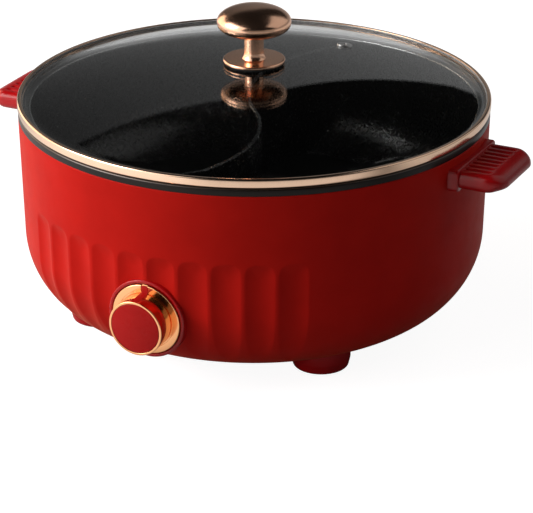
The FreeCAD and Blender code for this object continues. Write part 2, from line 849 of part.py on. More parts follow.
def heating():
    """Spreader plate with a groove for the ring heater, the heater with its two legs and
    terminals, the reflector shield and the thermal cut-out with its strap."""
    plate = turned("heat_spreader", [
        ("0", "spreader_under"), ("spreader_radius", "spreader_under"),
        ("spreader_radius", "pan_under"), ("0", "pan_under")])
    primitive(plate, "PartDesign::SubtractiveTorus", "heater_groove",
              {"Radius1": "heater_ring", "Radius2": "heater_radius"},
              ("0", "0", "spreader_under"))
    piece("heat_spreader", plate)

    ring = new_body("heater_tube")
    primitive(ring, "PartDesign::AdditiveTorus", "heater_loop",
              {"Radius1": "heater_ring", "Radius2": "heater_radius",
               "Angle3": "360 - heater_gap_angle"}, ("0", "0", "spreader_under"))
    legs, terminals = [], []
    for number, angle in enumerate(("0", "360 - heater_gap_angle")):
        spot = (f"heater_ring * cos({angle})", f"heater_ring * sin({angle})")
        primitive(ring, "PartDesign::AdditiveSphere", f"heater_elbow_{number}",
                  {"Radius": "heater_radius"}, (*spot, "spreader_under"))
        legs.append(primitive(ring, "PartDesign::AdditiveCylinder", f"heater_leg_{number}",
                              {"Radius": "heater_radius", "Height": "heater_leg"},
                              (*spot, "spreader_under - heater_leg")))
        pin = standing_cylinder(f"heater_terminal_{number}", "terminal_radius",
                                "spreader_under - heater_leg - terminal_length",
                                "spreader_under - heater_leg")
        turned_spot = f"{angle} + heater_gap_angle / 2 - 90"
        place(pin, f"heater_ring * cos({turned_spot})", f"heater_ring * sin({turned_spot})",
              "spreader_under - heater_leg - terminal_length")
        terminals.append(pin)
    place(ring, angle="heater_gap_angle / 2 - 90")
    piece("heater_tube", ring)
    piece("heater_terminals", grouped("heater_terminals", terminals))

    shield = turned("heat_shield", [
        ("0", "shield_level"), ("shield_radius", "shield_level"),
        ("shield_radius", "shield_level + shield_rim"),
        ("shield_radius - shield_sheet", "shield_level + shield_rim"),
        ("shield_radius - shield_sheet", "shield_level + shield_sheet"),
        ("0", "shield_level + shield_sheet")])
    primitive(shield, "PartDesign::SubtractiveCylinder", "shield_lead_hole",
              {"Radius": "shield_hole", "Height": "shield_rim"},
              ("0", "0 - heater_ring", "shield_level - shield_sheet"))
    for number, angle in enumerate(pillar_places()):
        primitive(shield, "PartDesign::SubtractiveCylinder", f"shield_pillar_hole_{number}",
                  {"Radius": "pillar_neck + thread_play", "Height": "shield_rim"},
                  (f"pillar_circle * cos({angle})", f"pillar_circle * sin({angle})",
                   "shield_level - shield_sheet"))
    piece("heat_shield", shield)

    cutout = turned("thermal_cutout", [
        ("0", "spreader_under - cutout_height"),
        ("cutout_neck", "spreader_under - cutout_height"),
        ("cutout_neck", "spreader_under - cutout_height / 2"),
        ("cutout_radius", "spreader_under - cutout_height / 2"),
        ("cutout_radius", "spreader_under"), ("0", "spreader_under")])
    piece("thermal_cutout", place(cutout, y="cutout_offset"))

    strap = new_body("cutout_strap")
    drop = "cutout_height / 2"
    foot = "strap_length / 2"
    arm = "(cutout_radius + 2 * strap_sheet)"
    padded(strap, "cutout_strap_bend", [
        (f"0 - {foot}", "0 - strap_sheet"), (f"0 - {arm}", "0 - strap_sheet"),
        (f"0 - {arm}", f"0 - {drop} - strap_sheet"), (arm, f"0 - {drop} - strap_sheet"),
        (arm, "0 - strap_sheet"), (foot, "0 - strap_sheet"), (foot, "0"),
        (f"{arm} - strap_sheet", "0"), (f"{arm} - strap_sheet", f"0 - {drop}"),
        (f"0 - {arm} + strap_sheet", f"0 - {drop}"), (f"0 - {arm} + strap_sheet", "0"),
        (f"0 - {foot}", "0")],
        "0 - strap_width / 2", "strap_width / 2", role="XZ_Plane")
    primitive(strap, "PartDesign::SubtractiveCylinder", "strap_neck_hole",
              {"Radius": "cutout_neck + thread_play", "Height": "cutout_height"},
              ("0", "0", "0 - cutout_height - strap_sheet"))
    piece("cutout_strap", place(strap, y="cutout_offset", z="spreader_under"))


def handle_screw_angles():
    """Directions of the four handle screws, two at each side."""
    return [f"{side} {sign} handle_screw_angle" for side in ("0", "180") for sign in "+-"]


def handle(name, side, outside):
    """One side handle: a flat grip with round corners and finger grooves on a plate that
    is cut to the shell's outside."""
    body = new_body(name + "_blank")
    root = "plate_face - plate_depth / 2"
    half = "grip_width / 2"
    corner = "grip_corner"
    padded(body, name + "_grip", [
        (root, f"0 - {half}"), (f"grip_reach - {corner}", f"0 - {half}", corner, "left"),
        ("grip_reach", f"0 - {half} + {corner}"),
        ("grip_reach", f"{half} - {corner}", corner, "left"),
        (f"grip_reach - {corner}", half), (root, half)], "grip_under", "handle_top")
    reach = value("plate_face")
    round_edges(body, "grip_round", lambda edge: edge.BoundBox.ZLength < 1e-4
                and edge.BoundBox.XMax > reach)
    for number in range(int(value("groove_count"))):
        groove = body.newObject("PartDesign::SubtractiveCylinder", f"{name}_groove_{number}")
        sink = "((groove_width ^ 2 / 4 + groove_depth ^ 2) / (2 * groove_depth))"
        bind(groove, "Radius", sink)
        bind(groove, "Height", "groove_end - plate_face")
        place(groove, "plate_face", f"groove_pitch * ({number} - (groove_count - 1) / 2)",
              f"handle_top + {sink} - groove_depth", (0, 1, 0), "90")
    plate = new_sketch(body, "YZ_Plane", name + "_plate_outline")
    draw_outline(plate, rounded_rectangle("plate_width", "plate_height", "plate_corner",
                                          y="grip_middle"))
    bind(plate, "AttachmentOffset.Base.z", "plate_face - plate_depth")
    pad = body.newObject("PartDesign::Pad", name + "_plate")
    pad.Profile = plate
    bind(pad, "Length", "plate_depth")
    place(body, angle=side)
    pilots = []
    for number, sign in enumerate("+-"):
        pilot = lying_turned(f"{name}_pilot_{number}", [
            ("plate_face - plate_depth", "0"), ("shell_radius + big_screw_long", "0"),
            ("shell_radius + big_screw_long", "big_screw + thread_play"),
            ("plate_face - plate_depth", "big_screw + thread_play")])
        pilots.append(place(pilot, z="grip_middle", angle=f"{side} {sign} handle_screw_angle"))
    tools = joined(name + "_tools", outside, *pilots)
    return piece(name, cut(name, body, tools))


def handle_screws():
    """Four screws from inside the shell into the handles' plates."""
    seat = "(shell_radius - (shell_top - grip_middle) * tan(shell_taper) - shell_wall - screw_play)"
    screws = []
    for number, angle in enumerate(handle_screw_angles()):
        screw = lying_turned(f"handle_screw_{number}", [
            (f"{seat} - big_head_high", "0"), (f"{seat} + big_screw_long", "0"),
            (f"{seat} + big_screw_long", "big_screw"), (seat, "big_screw"),
            (seat, "big_head"), (f"{seat} - big_head_high", "big_head")])
        screws.append(place(screw, z="grip_middle", angle=angle))
    return piece("handle_screws", grouped("handle_screws", screws))


def dial_bezel(outside):
    """Round bezel in the shell's front: a lip round the dial's skirt, a floor on the seat
    and an outer wall that runs back to the shell's curved outside."""
    inner = "bezel_radius - bezel_lip"
    blank = turned("bezel_blank", [
        ("shaft_way", "0 - bezel_seat"), (inner, "0 - bezel_seat"), (inner, "0 - bezel_depth"),
        ("bezel_radius", "0 - bezel_depth"), ("bezel_radius", "0"), (inner, "0"),
        (inner, "bezel_floor - bezel_seat"), ("shaft_way", "bezel_floor - bezel_seat")])
    round_rings(blank, "bezel_round", [("bezel_radius", "0"), (inner, "0")])
    for side in (-1, 1):
        x = f"{side} * thermostat_screw_span / 2"
        primitive(blank, "PartDesign::SubtractiveCylinder", f"bezel_screw_hole_{side + 1}",
                  {"Radius": "small_screw + screw_play", "Height": "bezel_depth"},
                  (x, "0", "0 - bezel_seat"))
        primitive(blank, "PartDesign::SubtractiveCylinder", f"bezel_counterbore_{side + 1}",
                  {"Radius": "small_head + screw_play", "Height": "bezel_depth"},
                  (x, "0", "bezel_floor - bezel_seat - small_head_high"))
    return piece("dial_bezel", cut("dial_bezel", on_dial_axis(blank), outside))


def dial_parts():
    """The dial: a plated knob with a skirt, its red cap and pointer bar, and the shaft."""
    inner = "barrel_radius - barrel_wall"
    ceiling = "cap_floor - dial_floor"
    groove = "barrel_radius + skirt_groove"
    knob = turned("dial_knob", [
        ("shaft_radius + shaft_play / 2", "skirt_back"), ("hub_radius", "skirt_back"),
        ("hub_radius", ceiling), (inner, ceiling), (inner, "skirt_back"),
        ("skirt_radius", "skirt_back"), ("skirt_radius", "skirt_face"),
        (groove, "skirt_face"), (groove, "skirt_face - skirt_groove"),
        ("barrel_radius", "skirt_face - skirt_groove"), ("barrel_radius", "barrel_face"),
        ("cap_radius + cap_gap", "barrel_face"), ("cap_radius + cap_gap", "cap_floor"),
        ("0", "cap_floor"), ("0", "skirt_back + shaft_grip"),
        ("shaft_radius + shaft_play / 2", "skirt_back + shaft_grip")])
    round_rings(knob, "barrel_round", [("barrel_radius", "barrel_face"),
                                       ("skirt_radius", "skirt_face")])
    half = "pointer_width / 2"
    depth = "barrel_radius - pointer_depth"
    box = "PartDesign::SubtractiveBox"
    primitive(knob, box, "pointer_slot_barrel",
              {"Length": "pointer_width", "Width": "skirt_radius",
               "Height": "barrel_length - pointer_end"}, (f"0 - {half}", depth, "skirt_face"))
    primitive(knob, box, "pointer_slot_skirt",
              {"Length": "pointer_width", "Width": "skirt_radius", "Height": "pointer_depth"},
              (f"0 - {half}", depth, "skirt_face - pointer_depth"))
    piece("dial_knob", on_dial_axis(knob))

    bar = new_body("dial_pointer")
    box = "PartDesign::AdditiveBox"
    primitive(bar, box, "pointer_on_barrel",
              {"Length": "pointer_width", "Width": "pointer_depth - pointer_inset",
               "Height": "barrel_length - pointer_end + pointer_depth"},
              (f"0 - {half}", depth, "skirt_face - pointer_depth"))
    primitive(bar, box, "pointer_on_skirt",
              {"Length": "pointer_width",
               "Width": "skirt_radius - barrel_radius + pointer_depth - barrel_round",
               "Height": "pointer_depth - pointer_inset"},
              (f"0 - {half}", depth, "skirt_face - pointer_depth"))
    piece("dial_pointer", on_dial_axis(bar))

    cap = turned("dial_cap", [
        ("0", "cap_floor"), ("cap_radius", "cap_floor"),
        ("cap_radius", "barrel_face - cap_gap",
         "(cap_radius ^ 2 + cap_crown ^ 2) / (2 * cap_crown)", "left"),
        ("0", "barrel_face - cap_gap + cap_crown")])
    piece("dial_cap", on_dial_axis(cap))

    shaft = turned("thermostat_shaft", [
        ("0", "bracket_back - thermostat_depth / 2"),
        ("shaft_radius", "bracket_back - thermostat_depth / 2"),
        ("shaft_radius", "skirt_back + shaft_grip - thread_play"),
        ("0", "skirt_back + shaft_grip - thread_play")])
    piece("thermostat_shaft", on_dial_axis(shaft))


def thermostat():
    """Control body on a steel bracket behind the seat, and the two screws that hold the
    bezel, the shell and the bracket together."""
    bracket = new_body("thermostat_bracket")
    padded(bracket, "bracket_plate", rounded_rectangle(
        "bracket_width", "bracket_height", "plate_corner"), "bracket_back", "bracket_front")
    bush_way = {"Radius": "bush_radius + thread_play", "Height": "bezel_depth"}
    primitive(bracket, "PartDesign::SubtractiveCylinder", "bracket_bush_hole", bush_way,
              ("0", "0", "bracket_back - thread_play"))
    for side in (-1, 1):
        primitive(bracket, "PartDesign::SubtractiveCylinder", f"bracket_thread_{side + 1}",
                  {"Radius": "small_screw + thread_play", "Height": "bezel_depth"},
                  (f"{side} * thermostat_screw_span / 2", "0", "bracket_back - thread_play"))
    piece("thermostat_bracket", on_dial_axis(bracket))

    control = new_body("thermostat_body")
    padded(control, "control_block", rounded_rectangle(
        "thermostat_width", "thermostat_up + thermostat_down", "plate_corner",
        y="(thermostat_up - thermostat_down) / 2"),
        "bracket_back - thermostat_depth", "bracket_back")
    primitive(control, "PartDesign::AdditiveCylinder", "control_bush",
              {"Radius": "bush_radius", "Height": "bracket_sheet + bracket_boss + seat_backing"},
              ("0", "0", "bracket_back"))
    primitive(control, "PartDesign::SubtractiveCylinder", "control_bore",
              {"Radius": "shaft_radius + shaft_play", "Height": "bezel_depth"},
              ("0", "0", "bracket_back - thermostat_depth / 2 - shaft_play"))
    piece("thermostat_body", on_dial_axis(control))

    screws = []
    seat = "(bezel_floor - bezel_seat - small_head_high)"
    for side in (-1, 1):
        screw = turned(f"thermostat_screw_{side + 1}", [
            ("0", f"{seat} - small_screw_long"), ("small_screw", f"{seat} - small_screw_long"),
            ("small_screw", seat), ("small_head", seat),
            ("small_head", f"{seat} + small_head_high - thread_play"),
            ("0", f"{seat} + small_head_high - thread_play")])
        screws.append(beside_dial(screw, side))
    piece("thermostat_screws", grouped("thermostat_screws", screws))


def power_inlet(outside):
    """Rear inlet: a shroud round the socket, a flange cut to the shell's outside, three
    contact pins and the flange's two screws."""
    back = "(inlet_reach - inlet_flange_face)"
    flange = new_body("inlet_flange")
    padded(flange, "inlet_flange_block", rounded_rectangle(
        "inlet_flange_width", "inlet_flange_tall", "inlet_corner"),
        f"0 - {back} - inlet_flange_depth", f"0 - {back}")
    padded(flange, "inlet_flange_way", rounded_rectangle(
        "inlet_width", "inlet_tall", "inlet_corner"),
        f"0 - {back} - inlet_flange_depth", "0", "PartDesign::Pocket")
    on_inlet_axis(flange)
    holes = [inlet_screw_hole("flange_inlet_hole", side) for side in (-1, 1)]
    collar = cut("inlet_collar", flange, joined("inlet_flange_tools", outside, *holes))

    shroud = new_body("inlet_shroud")
    padded(shroud, "inlet_shroud_block", rounded_rectangle(
        "inlet_width", "inlet_tall", "inlet_corner"), "0 - inlet_length", "0")
    padded(shroud, "inlet_socket", rounded_rectangle(
        "inlet_width - 2 * inlet_wall", "inlet_tall - 2 * inlet_wall",
        "inlet_corner - inlet_wall"), "0 - socket_depth", "0", "PartDesign::Pocket")
    for number, (x, y) in enumerate(pin_spots()):
        primitive(shroud, "PartDesign::SubtractiveCylinder", f"inlet_pin_hole_{number}",
                  {"Radius": "pin_radius", "Height": "inlet_length"},
                  (x, y, "0 - inlet_length"))
    piece("power_inlet", joined("power_inlet", collar, on_inlet_axis(shroud)))

    pins = []
    low = "(0 - inlet_length - pin_tail)"
    high = "(pin_length - socket_depth)"
    for number, (x, y) in enumerate(pin_spots()):
        pin = new_body(f"inlet_pin_{number}")
        primitive(pin, "PartDesign::AdditiveCylinder", f"pin_rod_{number}",
                  {"Radius": "pin_radius", "Height": f"{high} - {low} - pin_radius"},
                  (x, y, low))
        primitive(pin, "PartDesign::AdditiveSphere", f"pin_tip_{number}",
                  {"Radius": "pin_radius"}, (x, y, f"{high} - pin_radius"))
        pins.append(on_inlet_axis(pin))
    piece("inlet_pins", grouped("inlet_pins", pins))

    screws = []
    seat = f"(0 - {back})"
    for side in (-1, 1):
        screw = turned(f"inlet_screw_{side + 1}", [
            ("0", f"{seat} - big_screw_long"), ("big_screw", f"{seat} - big_screw_long"),
            ("big_screw", seat), ("big_head", seat), ("big_head", f"{seat} + big_head_high"),
            ("0", f"{seat} + big_head_high")])
        round_rings(screw, "head_round", [("big_head", f"{seat} + big_head_high")])
        screws.append(beside_inlet(screw, side))
    piece("inlet_screws", grouped("inlet_screws", screws))


def pin_spots():
    """Places of the three contact pins across the socket."""
    return [("0 - pin_span / 2", "pin_rise / 2"), ("pin_span / 2", "pin_rise / 2"),
            ("0", "0 - pin_rise")]


def lid_ring():
    """Folded steel band with an inward lip above and below, and the seal inside it."""
    lip = "band_radius - band_lip"
    foot = "band_radius - band_foot"
    wall = "band_radius - band_sheet"
    low, high = "band_base + band_sheet", "band_top - band_sheet"
    inside = [("band_radius - band_fold", low), (wall, "band_base + band_fold"),
              (wall, "band_top - band_fold"), ("band_radius - band_fold", high)]
    band = turned("lid_band", [
        (foot, "band_base"), ("band_radius - band_round", "band_base"),
        ("band_radius", "band_base + band_round"), ("band_radius", "band_top - band_round"),
        ("band_radius - band_round", "band_top"), (lip, "band_top"), (lip, high),
        *reversed(inside), (foot, low)])
    piece("lid_band", band)

    show = "band_radius - band_lip - seal_show"
    seal = turned("lid_edge_seal", [
        (show, low), *inside, (show, high),
        (show, "glass_edge_top"), ("glass_radius", "glass_edge_top"),
        ("glass_radius", "glass_under"), (show, "glass_under")])
    piece("lid_edge_seal", seal)


def dome_level(round_name, radius):
    """Height of one of the glass's faces at a distance from the axis."""
    return f"(dome_centre + sqrt({round_name} ^ 2 - ({radius}) ^ 2))"


def lid_glass():
    """Pressed glass dome with a flat edge, a centre hole and a hole for the steam eyelet."""
    under_edge = "sqrt(dome_inner ^ 2 - (glass_under - dome_centre) ^ 2)"
    body = turned("lid_dome", [
        ("glass_hole", dome_level("dome_inner", "glass_hole"), "dome_inner", "right"),
        (under_edge, "glass_under"), ("glass_radius", "glass_under"),
        ("glass_radius", "glass_edge_top"),
        ("dome_edge", "glass_edge_top", "dome_round", "left"),
        ("glass_hole", dome_level("dome_round", "glass_hole"))])
    vent = standing_cylinder("vent_cutter", "eyelet_radius + thread_play",
                             "dome_round - 2 * glass_thick", "dome_round + glass_thick")
    at_vent(vent, "dome_round - 2 * glass_thick")
    return piece("lid_glass", cut("lid_glass", body, vent))


def at_vent(thing, lift):
    """Stand an object on the dome's normal through the vent, lifted from the dome's centre."""
    lean = "asin(vent_distance / dome_round) / 1 deg"
    x, y = value("vent_x"), value("vent_y")
    return place(thing, f"({lift}) * vent_x / dome_round", f"({lift}) * vent_y / dome_round",
                 f"dome_centre + ({lift}) * cos({lean})", (-y, x, 0), lean)


def steam_eyelet():
    """Pressed metal eyelet: a tube through the glass with a flange above and below."""
    low = "0 - glass_thick - thread_play"
    tube = turned("steam_vent_eyelet", [
        ("eyelet_hole", f"{low} - eyelet_sheet"), ("eyelet_flange", f"{low} - eyelet_sheet"),
        ("eyelet_flange", low), ("eyelet_radius", low), ("eyelet_radius", "0"),
        ("eyelet_flange", "0"), ("eyelet_flange", "eyelet_sheet"),
        ("eyelet_hole", "eyelet_sheet")])
    round_rings(tube, "eyelet_sheet / 2", [("eyelet_flange", "eyelet_sheet"),
                                           ("eyelet_hole", "eyelet_sheet")])
    return piece("steam_vent_eyelet", at_vent(tube, "dome_round"))


def knob_stack():
    """Knob, its base disc, the gasket and washer either side of the glass, and the screw."""
    bore = "knob_screw + thread_play"
    gasket = turned("lid_knob_gasket", [
        (bore, dome_level("dome_round", bore), "dome_round", "right"),
        ("gasket_radius", dome_level("dome_round", "gasket_radius")),
        ("gasket_radius", "gasket_top"), (bore, "gasket_top")])
    piece("lid_knob_gasket", gasket)

    base = turned("lid_knob_base", [
        (bore, "gasket_top"), ("knob_base_radius", "gasket_top"),
        ("knob_base_radius", "knob_seat"), (bore, "knob_seat")])
    round_rings(base, "knob_base_round", [("knob_base_radius", "gasket_top"),
                                          ("knob_base_radius", "knob_seat")])
    piece("lid_knob_base", base)

    grip_depth = "(knob_screw_long - gasket_thick - knob_base_thick - glass_thick - washer_thick)"
    knob = turned("lid_knob", [
        (bore, "knob_seat"), ("knob_foot_radius", "knob_seat",
                              "knob_flare ^ 2 / (2 * (knob_foot_radius - knob_stem))"
                              " + (knob_foot_radius - knob_stem) / 2", "right"),
        ("knob_stem", "knob_seat + knob_flare"), ("knob_stem", "knob_middle"),
        ("0", "knob_middle"), ("0", f"knob_seat + {grip_depth} + thread_play"),
        (bore, f"knob_seat + {grip_depth} + thread_play")])
    for half, rise, low, high in (("crown", "knob_crown", "0", "90"),
                                  ("under", "knob_under", "0 - 90", "0")):
        primitive(knob, "PartDesign::AdditiveEllipsoid", f"knob_{half}_half",
                  {"Radius1": rise, "Radius2": "knob_head", "Radius3": "knob_head",
                   "Angle1": low, "Angle2": high}, ("0", "0", "knob_middle"))
    piece("lid_knob", knob)

    under = "dome_inner"
    washer = turned("lid_knob_washer", [
        (bore, "dome_top - glass_thick - washer_thick"),
        ("washer_radius", "dome_top - glass_thick - washer_thick"),
        ("washer_radius", dome_level(under, "washer_radius"), under, "left"),
        (bore, dome_level(under, bore))])
    piece("lid_knob_washer", washer)

    seat = "(dome_top - glass_thick - washer_thick)"
    screw = turned("lid_knob_screw", [
        ("0", f"{seat} - big_head_high"), ("knob_screw_head", f"{seat} - big_head_high"),
        ("knob_screw_head", seat), ("knob_screw", seat),
        ("knob_screw", f"{seat} + knob_screw_long"), ("0", f"{seat} + knob_screw_long")])
    round_rings(screw, "head_round", [("knob_screw_head", f"{seat} - big_head_high")])
    piece("lid_knob_screw", screw)


def write_pieces():
    """Check every object and piece, then write one file per piece."""
    doc.recompute()
    for item in doc.Objects:
        if "Invalid" in item.State or "Error" in item.State:
            raise RuntimeError(f"{item.Label} did not build: {item.State}")
    for item in pieces:
        shape = item.Shape
        if shape.isNull() or not shape.isValid() or not shape.Solids:
            raise RuntimeError(f"{item.Label} has no valid solid")
    os.makedirs("parts", exist_ok=True)
    for item in pieces:
        item.Shape.exportStep(os.path.join("parts", item.Label + ".step"))
        print(f"{item.Label}: {len(item.Shape.Solids)} solid(s), "
              f"{item.Shape.Volume / 1000:.2f} cm3")


def main():
    """Build every piece and write them."""
    fill_sheet()
    outside = outer_form()
    outer_shell(outside)
    inner_pan()
    pan_divider()
    heating()
    bottom_cover()
    pillars()
    feet(outside)
    handle("handle_right", "0", outside)
    handle("handle_left", "180", outside)
    handle_screws()
    dial_bezel(outside)
    thermostat()
    dial_parts()
    power_inlet(outside)
    lid_ring()
    lid_glass()
    steam_eyelet()
    knob_stack()
    write_pieces()


main()
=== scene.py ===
"""Looks of an electric hot pot with a glass lift-off lid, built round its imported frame.

Sizes are in millimetres until a mesh is made, and every mesh is in metres in the frame's
own axes: +Z up, the dial at -Y, the side handles at +X and -X.
"""

import logging
import math
from dataclasses import dataclass
from enum import Enum
from typing import Callable, ClassVar, Sequence

import bmesh
import bpy
from mathutils import Matrix, Vector


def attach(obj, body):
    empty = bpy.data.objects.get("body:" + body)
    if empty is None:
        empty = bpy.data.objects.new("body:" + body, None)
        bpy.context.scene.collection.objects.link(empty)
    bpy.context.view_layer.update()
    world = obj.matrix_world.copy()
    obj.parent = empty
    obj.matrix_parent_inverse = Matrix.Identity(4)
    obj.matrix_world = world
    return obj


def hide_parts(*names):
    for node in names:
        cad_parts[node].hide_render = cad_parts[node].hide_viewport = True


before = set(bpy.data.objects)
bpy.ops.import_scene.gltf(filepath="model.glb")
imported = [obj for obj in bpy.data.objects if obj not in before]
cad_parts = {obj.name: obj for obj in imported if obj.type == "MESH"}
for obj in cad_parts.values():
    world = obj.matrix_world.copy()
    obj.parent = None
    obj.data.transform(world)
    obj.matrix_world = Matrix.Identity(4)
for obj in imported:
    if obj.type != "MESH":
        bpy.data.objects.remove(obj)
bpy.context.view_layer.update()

log = logging.getLogger("hot_pot")
logging.basicConfig(level=logging.INFO, format="%(message)s")

MM = 0.001
SMOOTH_ANGLE = math.radians(32)

Outline = list[tuple[float, float]]
Corner = tuple[float, float, float]
Point = tuple[float, float, float]


class Body(Enum):
    """The rigid bodies that pieces ride on."""

    BASE = "base"
    LID = "lid"
    DIAL = "dial"


# Node graphs and finishes


class Graph:
    """A material's node tree, with short ways to add nodes and wire them."""

    def __init__(self, name: str) -> None:
        """Start an empty tree with an output and one surface shader."""
        self.material = bpy.data.materials.new(name)
        self.material.use_nodes = True
        self.tree = self.material.node_tree
        self.tree.nodes.clear()
        self.output = self.tree.nodes.new("ShaderNodeOutputMaterial")
        self.shader = self.tree.nodes.new("ShaderNodeBsdfPrincipled")
        self.wire(self.shader.outputs["BSDF"], self.output.inputs["Surface"])
        self.place = self.tree.nodes.new("ShaderNodeTexCoord").outputs["Object"]

    def wire(self, start: bpy.types.NodeSocket, end: bpy.types.NodeSocket) -> None:
        """Join an output socket to an input socket."""
        self.tree.links.new(start, end)

    def set(self, **values: float | tuple[float, ...]) -> None:
        """Set constant values on the surface shader, by socket name with underscores."""
        for name, value in values.items():
            self.shader.inputs[name.replace("_", " ")].default_value = value

    def stretched(self, scale: Point) -> bpy.types.NodeSocket:
        """Object coordinates multiplied by a scale on each axis.

        Args:
            scale: the factor on each axis.

        Returns:
            The stretched coordinates' socket.
        """
        mapping = self.tree.nodes.new("ShaderNodeMapping")
        mapping.inputs["Scale"].default_value = scale
        self.wire(self.place, mapping.inputs["Vector"])
        return mapping.outputs["Vector"]

    def noise(self, size_mm: float, detail: float = 2.0,
              stretch: Point = (1.0, 1.0, 1.0)) -> bpy.types.NodeSocket:
        """A fractal noise whose largest features have a real size.

        Args:
            size_mm: width of the largest features.
            detail: number of finer layers.
            stretch: relative frequency along each axis.

        Returns:
            The factor socket, about 0.5 on average.
        """
        noise = self.tree.nodes.new("ShaderNodeTexNoise")
        noise.inputs["Scale"].default_value = 1.0
        noise.inputs["Detail"].default_value = detail
        rate = 1.0 / (size_mm * MM)
        scale = (stretch[0] * rate, stretch[1] * rate, stretch[2] * rate)
        self.wire(self.stretched(scale), noise.inputs["Vector"])
        return noise.outputs["Fac"]

    def spread(self, factor: bpy.types.NodeSocket, low: float, high: float,
               dark: float = 0.3, light: float = 0.7) -> bpy.types.NodeSocket:
        """Map a factor's middle range onto a low and a high value.

        Args:
            factor: the socket that is mapped.
            low: the value at the dark end.
            high: the value at the light end.
            dark: the factor that gives the low value.
            light: the factor that gives the high value.

        Returns:
            The result's socket.
        """
        ramp = self.tree.nodes.new("ShaderNodeMapRange")
        for name, value in (("From Min", dark), ("From Max", light),
                            ("To Min", low), ("To Max", high)):
            ramp.inputs[name].default_value = value
        self.wire(factor, ramp.inputs["Value"])
        return ramp.outputs["Result"]

    def tint(self, factor: bpy.types.NodeSocket, first: Point,
             second: Point) -> bpy.types.NodeSocket:
        """Mix two colours by a factor.

        Args:
            factor: 0 for the first colour, 1 for the second.
            first: the first colour.
            second: the second colour.

        Returns:
            The mixed colour's socket.
        """
        mix = self.tree.nodes.new("ShaderNodeMix")
        mix.data_type = "RGBA"
        mix.inputs[6].default_value = (*first, 1.0)
        mix.inputs[7].default_value = (*second, 1.0)
        self.wire(factor, mix.inputs[0])
        return mix.outputs[2]

    def bump(self, height: bpy.types.NodeSocket, depth_mm: float,
             strength: float = 1.0) -> None:
        """Roughen the surface by a height whose full swing is a real depth.

        Args:
            height: the socket that gives the height.
            depth_mm: depth of its full swing.
            strength: share of the effect.
        """
        node = self.tree.nodes.new("ShaderNodeBump")
        node.inputs["Distance"].default_value = depth_mm * MM
        node.inputs["Strength"].default_value = strength
        self.wire(height, node.inputs["Height"])
        self.wire(node.outputs["Normal"], self.shader.inputs["Normal"])


@dataclass(frozen=True)
class MouldedPlastic:
    """Moulded plastic: fine grain, slow mottling and an even sheen."""

    name: str
    colour: Point
    roughness: float
    grain_mm: float = 0.35
    grain_depth_mm: float = 0.012
    coat: float = 0.0
    coat_roughness: float = 0.05
    specular: float = 0.5
    bloom: float = 0.0
    bloom_colour: Point = (1.0, 1.0, 1.0)

    def material(self) -> bpy.types.Material:
        """Build the node material of this finish.

        Returns:
            The material.
        """
        graph = Graph(self.name)
        r, g, b = self.colour
        slow = graph.spread(graph.noise(28.0, 3.0), 0.0, 1.0)
        deep = (r * 0.93, g * 0.9, b * 0.9)
        pale = (min(r * 1.05, 1.0), g * 1.08, b * 1.08)
        graph.wire(graph.tint(slow, deep, pale), graph.shader.inputs["Base Color"])
        rough = graph.spread(graph.noise(9.0, 4.0), self.roughness * 0.93, self.roughness * 1.07)
        graph.wire(rough, graph.shader.inputs["Roughness"])
        graph.set(Specular_IOR_Level=self.specular, Coat_Weight=self.coat,
                  Coat_Roughness=self.coat_roughness, Sheen_Weight=self.bloom,
                  Sheen_Tint=(*self.bloom_colour, 1.0), Sheen_Roughness=0.35)
        graph.bump(graph.noise(self.grain_mm, 2.0), self.grain_depth_mm)
        return graph.material


@dataclass(frozen=True)
class PlatedMetal:
    """Polished plating: clear reflections with a breath of unevenness and fine wiping marks."""

    name: str
    colour: Point
    roughness: float
    waviness_mm: float = 0.01

    def material(self) -> bpy.types.Material:
        """Build the node material of this finish.

        Returns:
            The material.
        """
        graph = Graph(self.name)
        r, g, b = self.colour
        slow = graph.spread(graph.noise(14.0, 3.0), 0.0, 1.0)
        graph.wire(graph.tint(slow, (r * 0.97, g * 0.95, b * 0.94), self.colour),
                   graph.shader.inputs["Base Color"])
        wiped = graph.noise(0.8, 5.0, (1.0, 1.0, 0.15))
        rough = graph.spread(wiped, self.roughness * 0.8, self.roughness * 1.3)
        graph.wire(rough, graph.shader.inputs["Roughness"])
        graph.set(Metallic=1.0)
        graph.bump(graph.noise(6.0, 1.0), self.waviness_mm)
        return graph.material


@dataclass(frozen=True)
class RolledSteel:
    """Plain rolled or turned steel with a drawn grain."""

    name: str
    colour: Point
    roughness: float
    grain: Point = (1.0, 1.0, 0.05)

    def material(self) -> bpy.types.Material:
        """Build the node material of this finish.

        Returns:
            The material.
        """
        graph = Graph(self.name)
        r, g, b = self.colour
        drawn = graph.noise(0.5, 4.0, self.grain)
        graph.wire(graph.tint(graph.spread(drawn, 0.0, 1.0), (r * 0.85, g * 0.85, b * 0.85),
                              self.colour), graph.shader.inputs["Base Color"])
        graph.wire(graph.spread(drawn, self.roughness * 0.8, self.roughness * 1.25),
                   graph.shader.inputs["Roughness"])
        graph.set(Metallic=1.0)
        graph.bump(drawn, 0.006)
        return graph.material


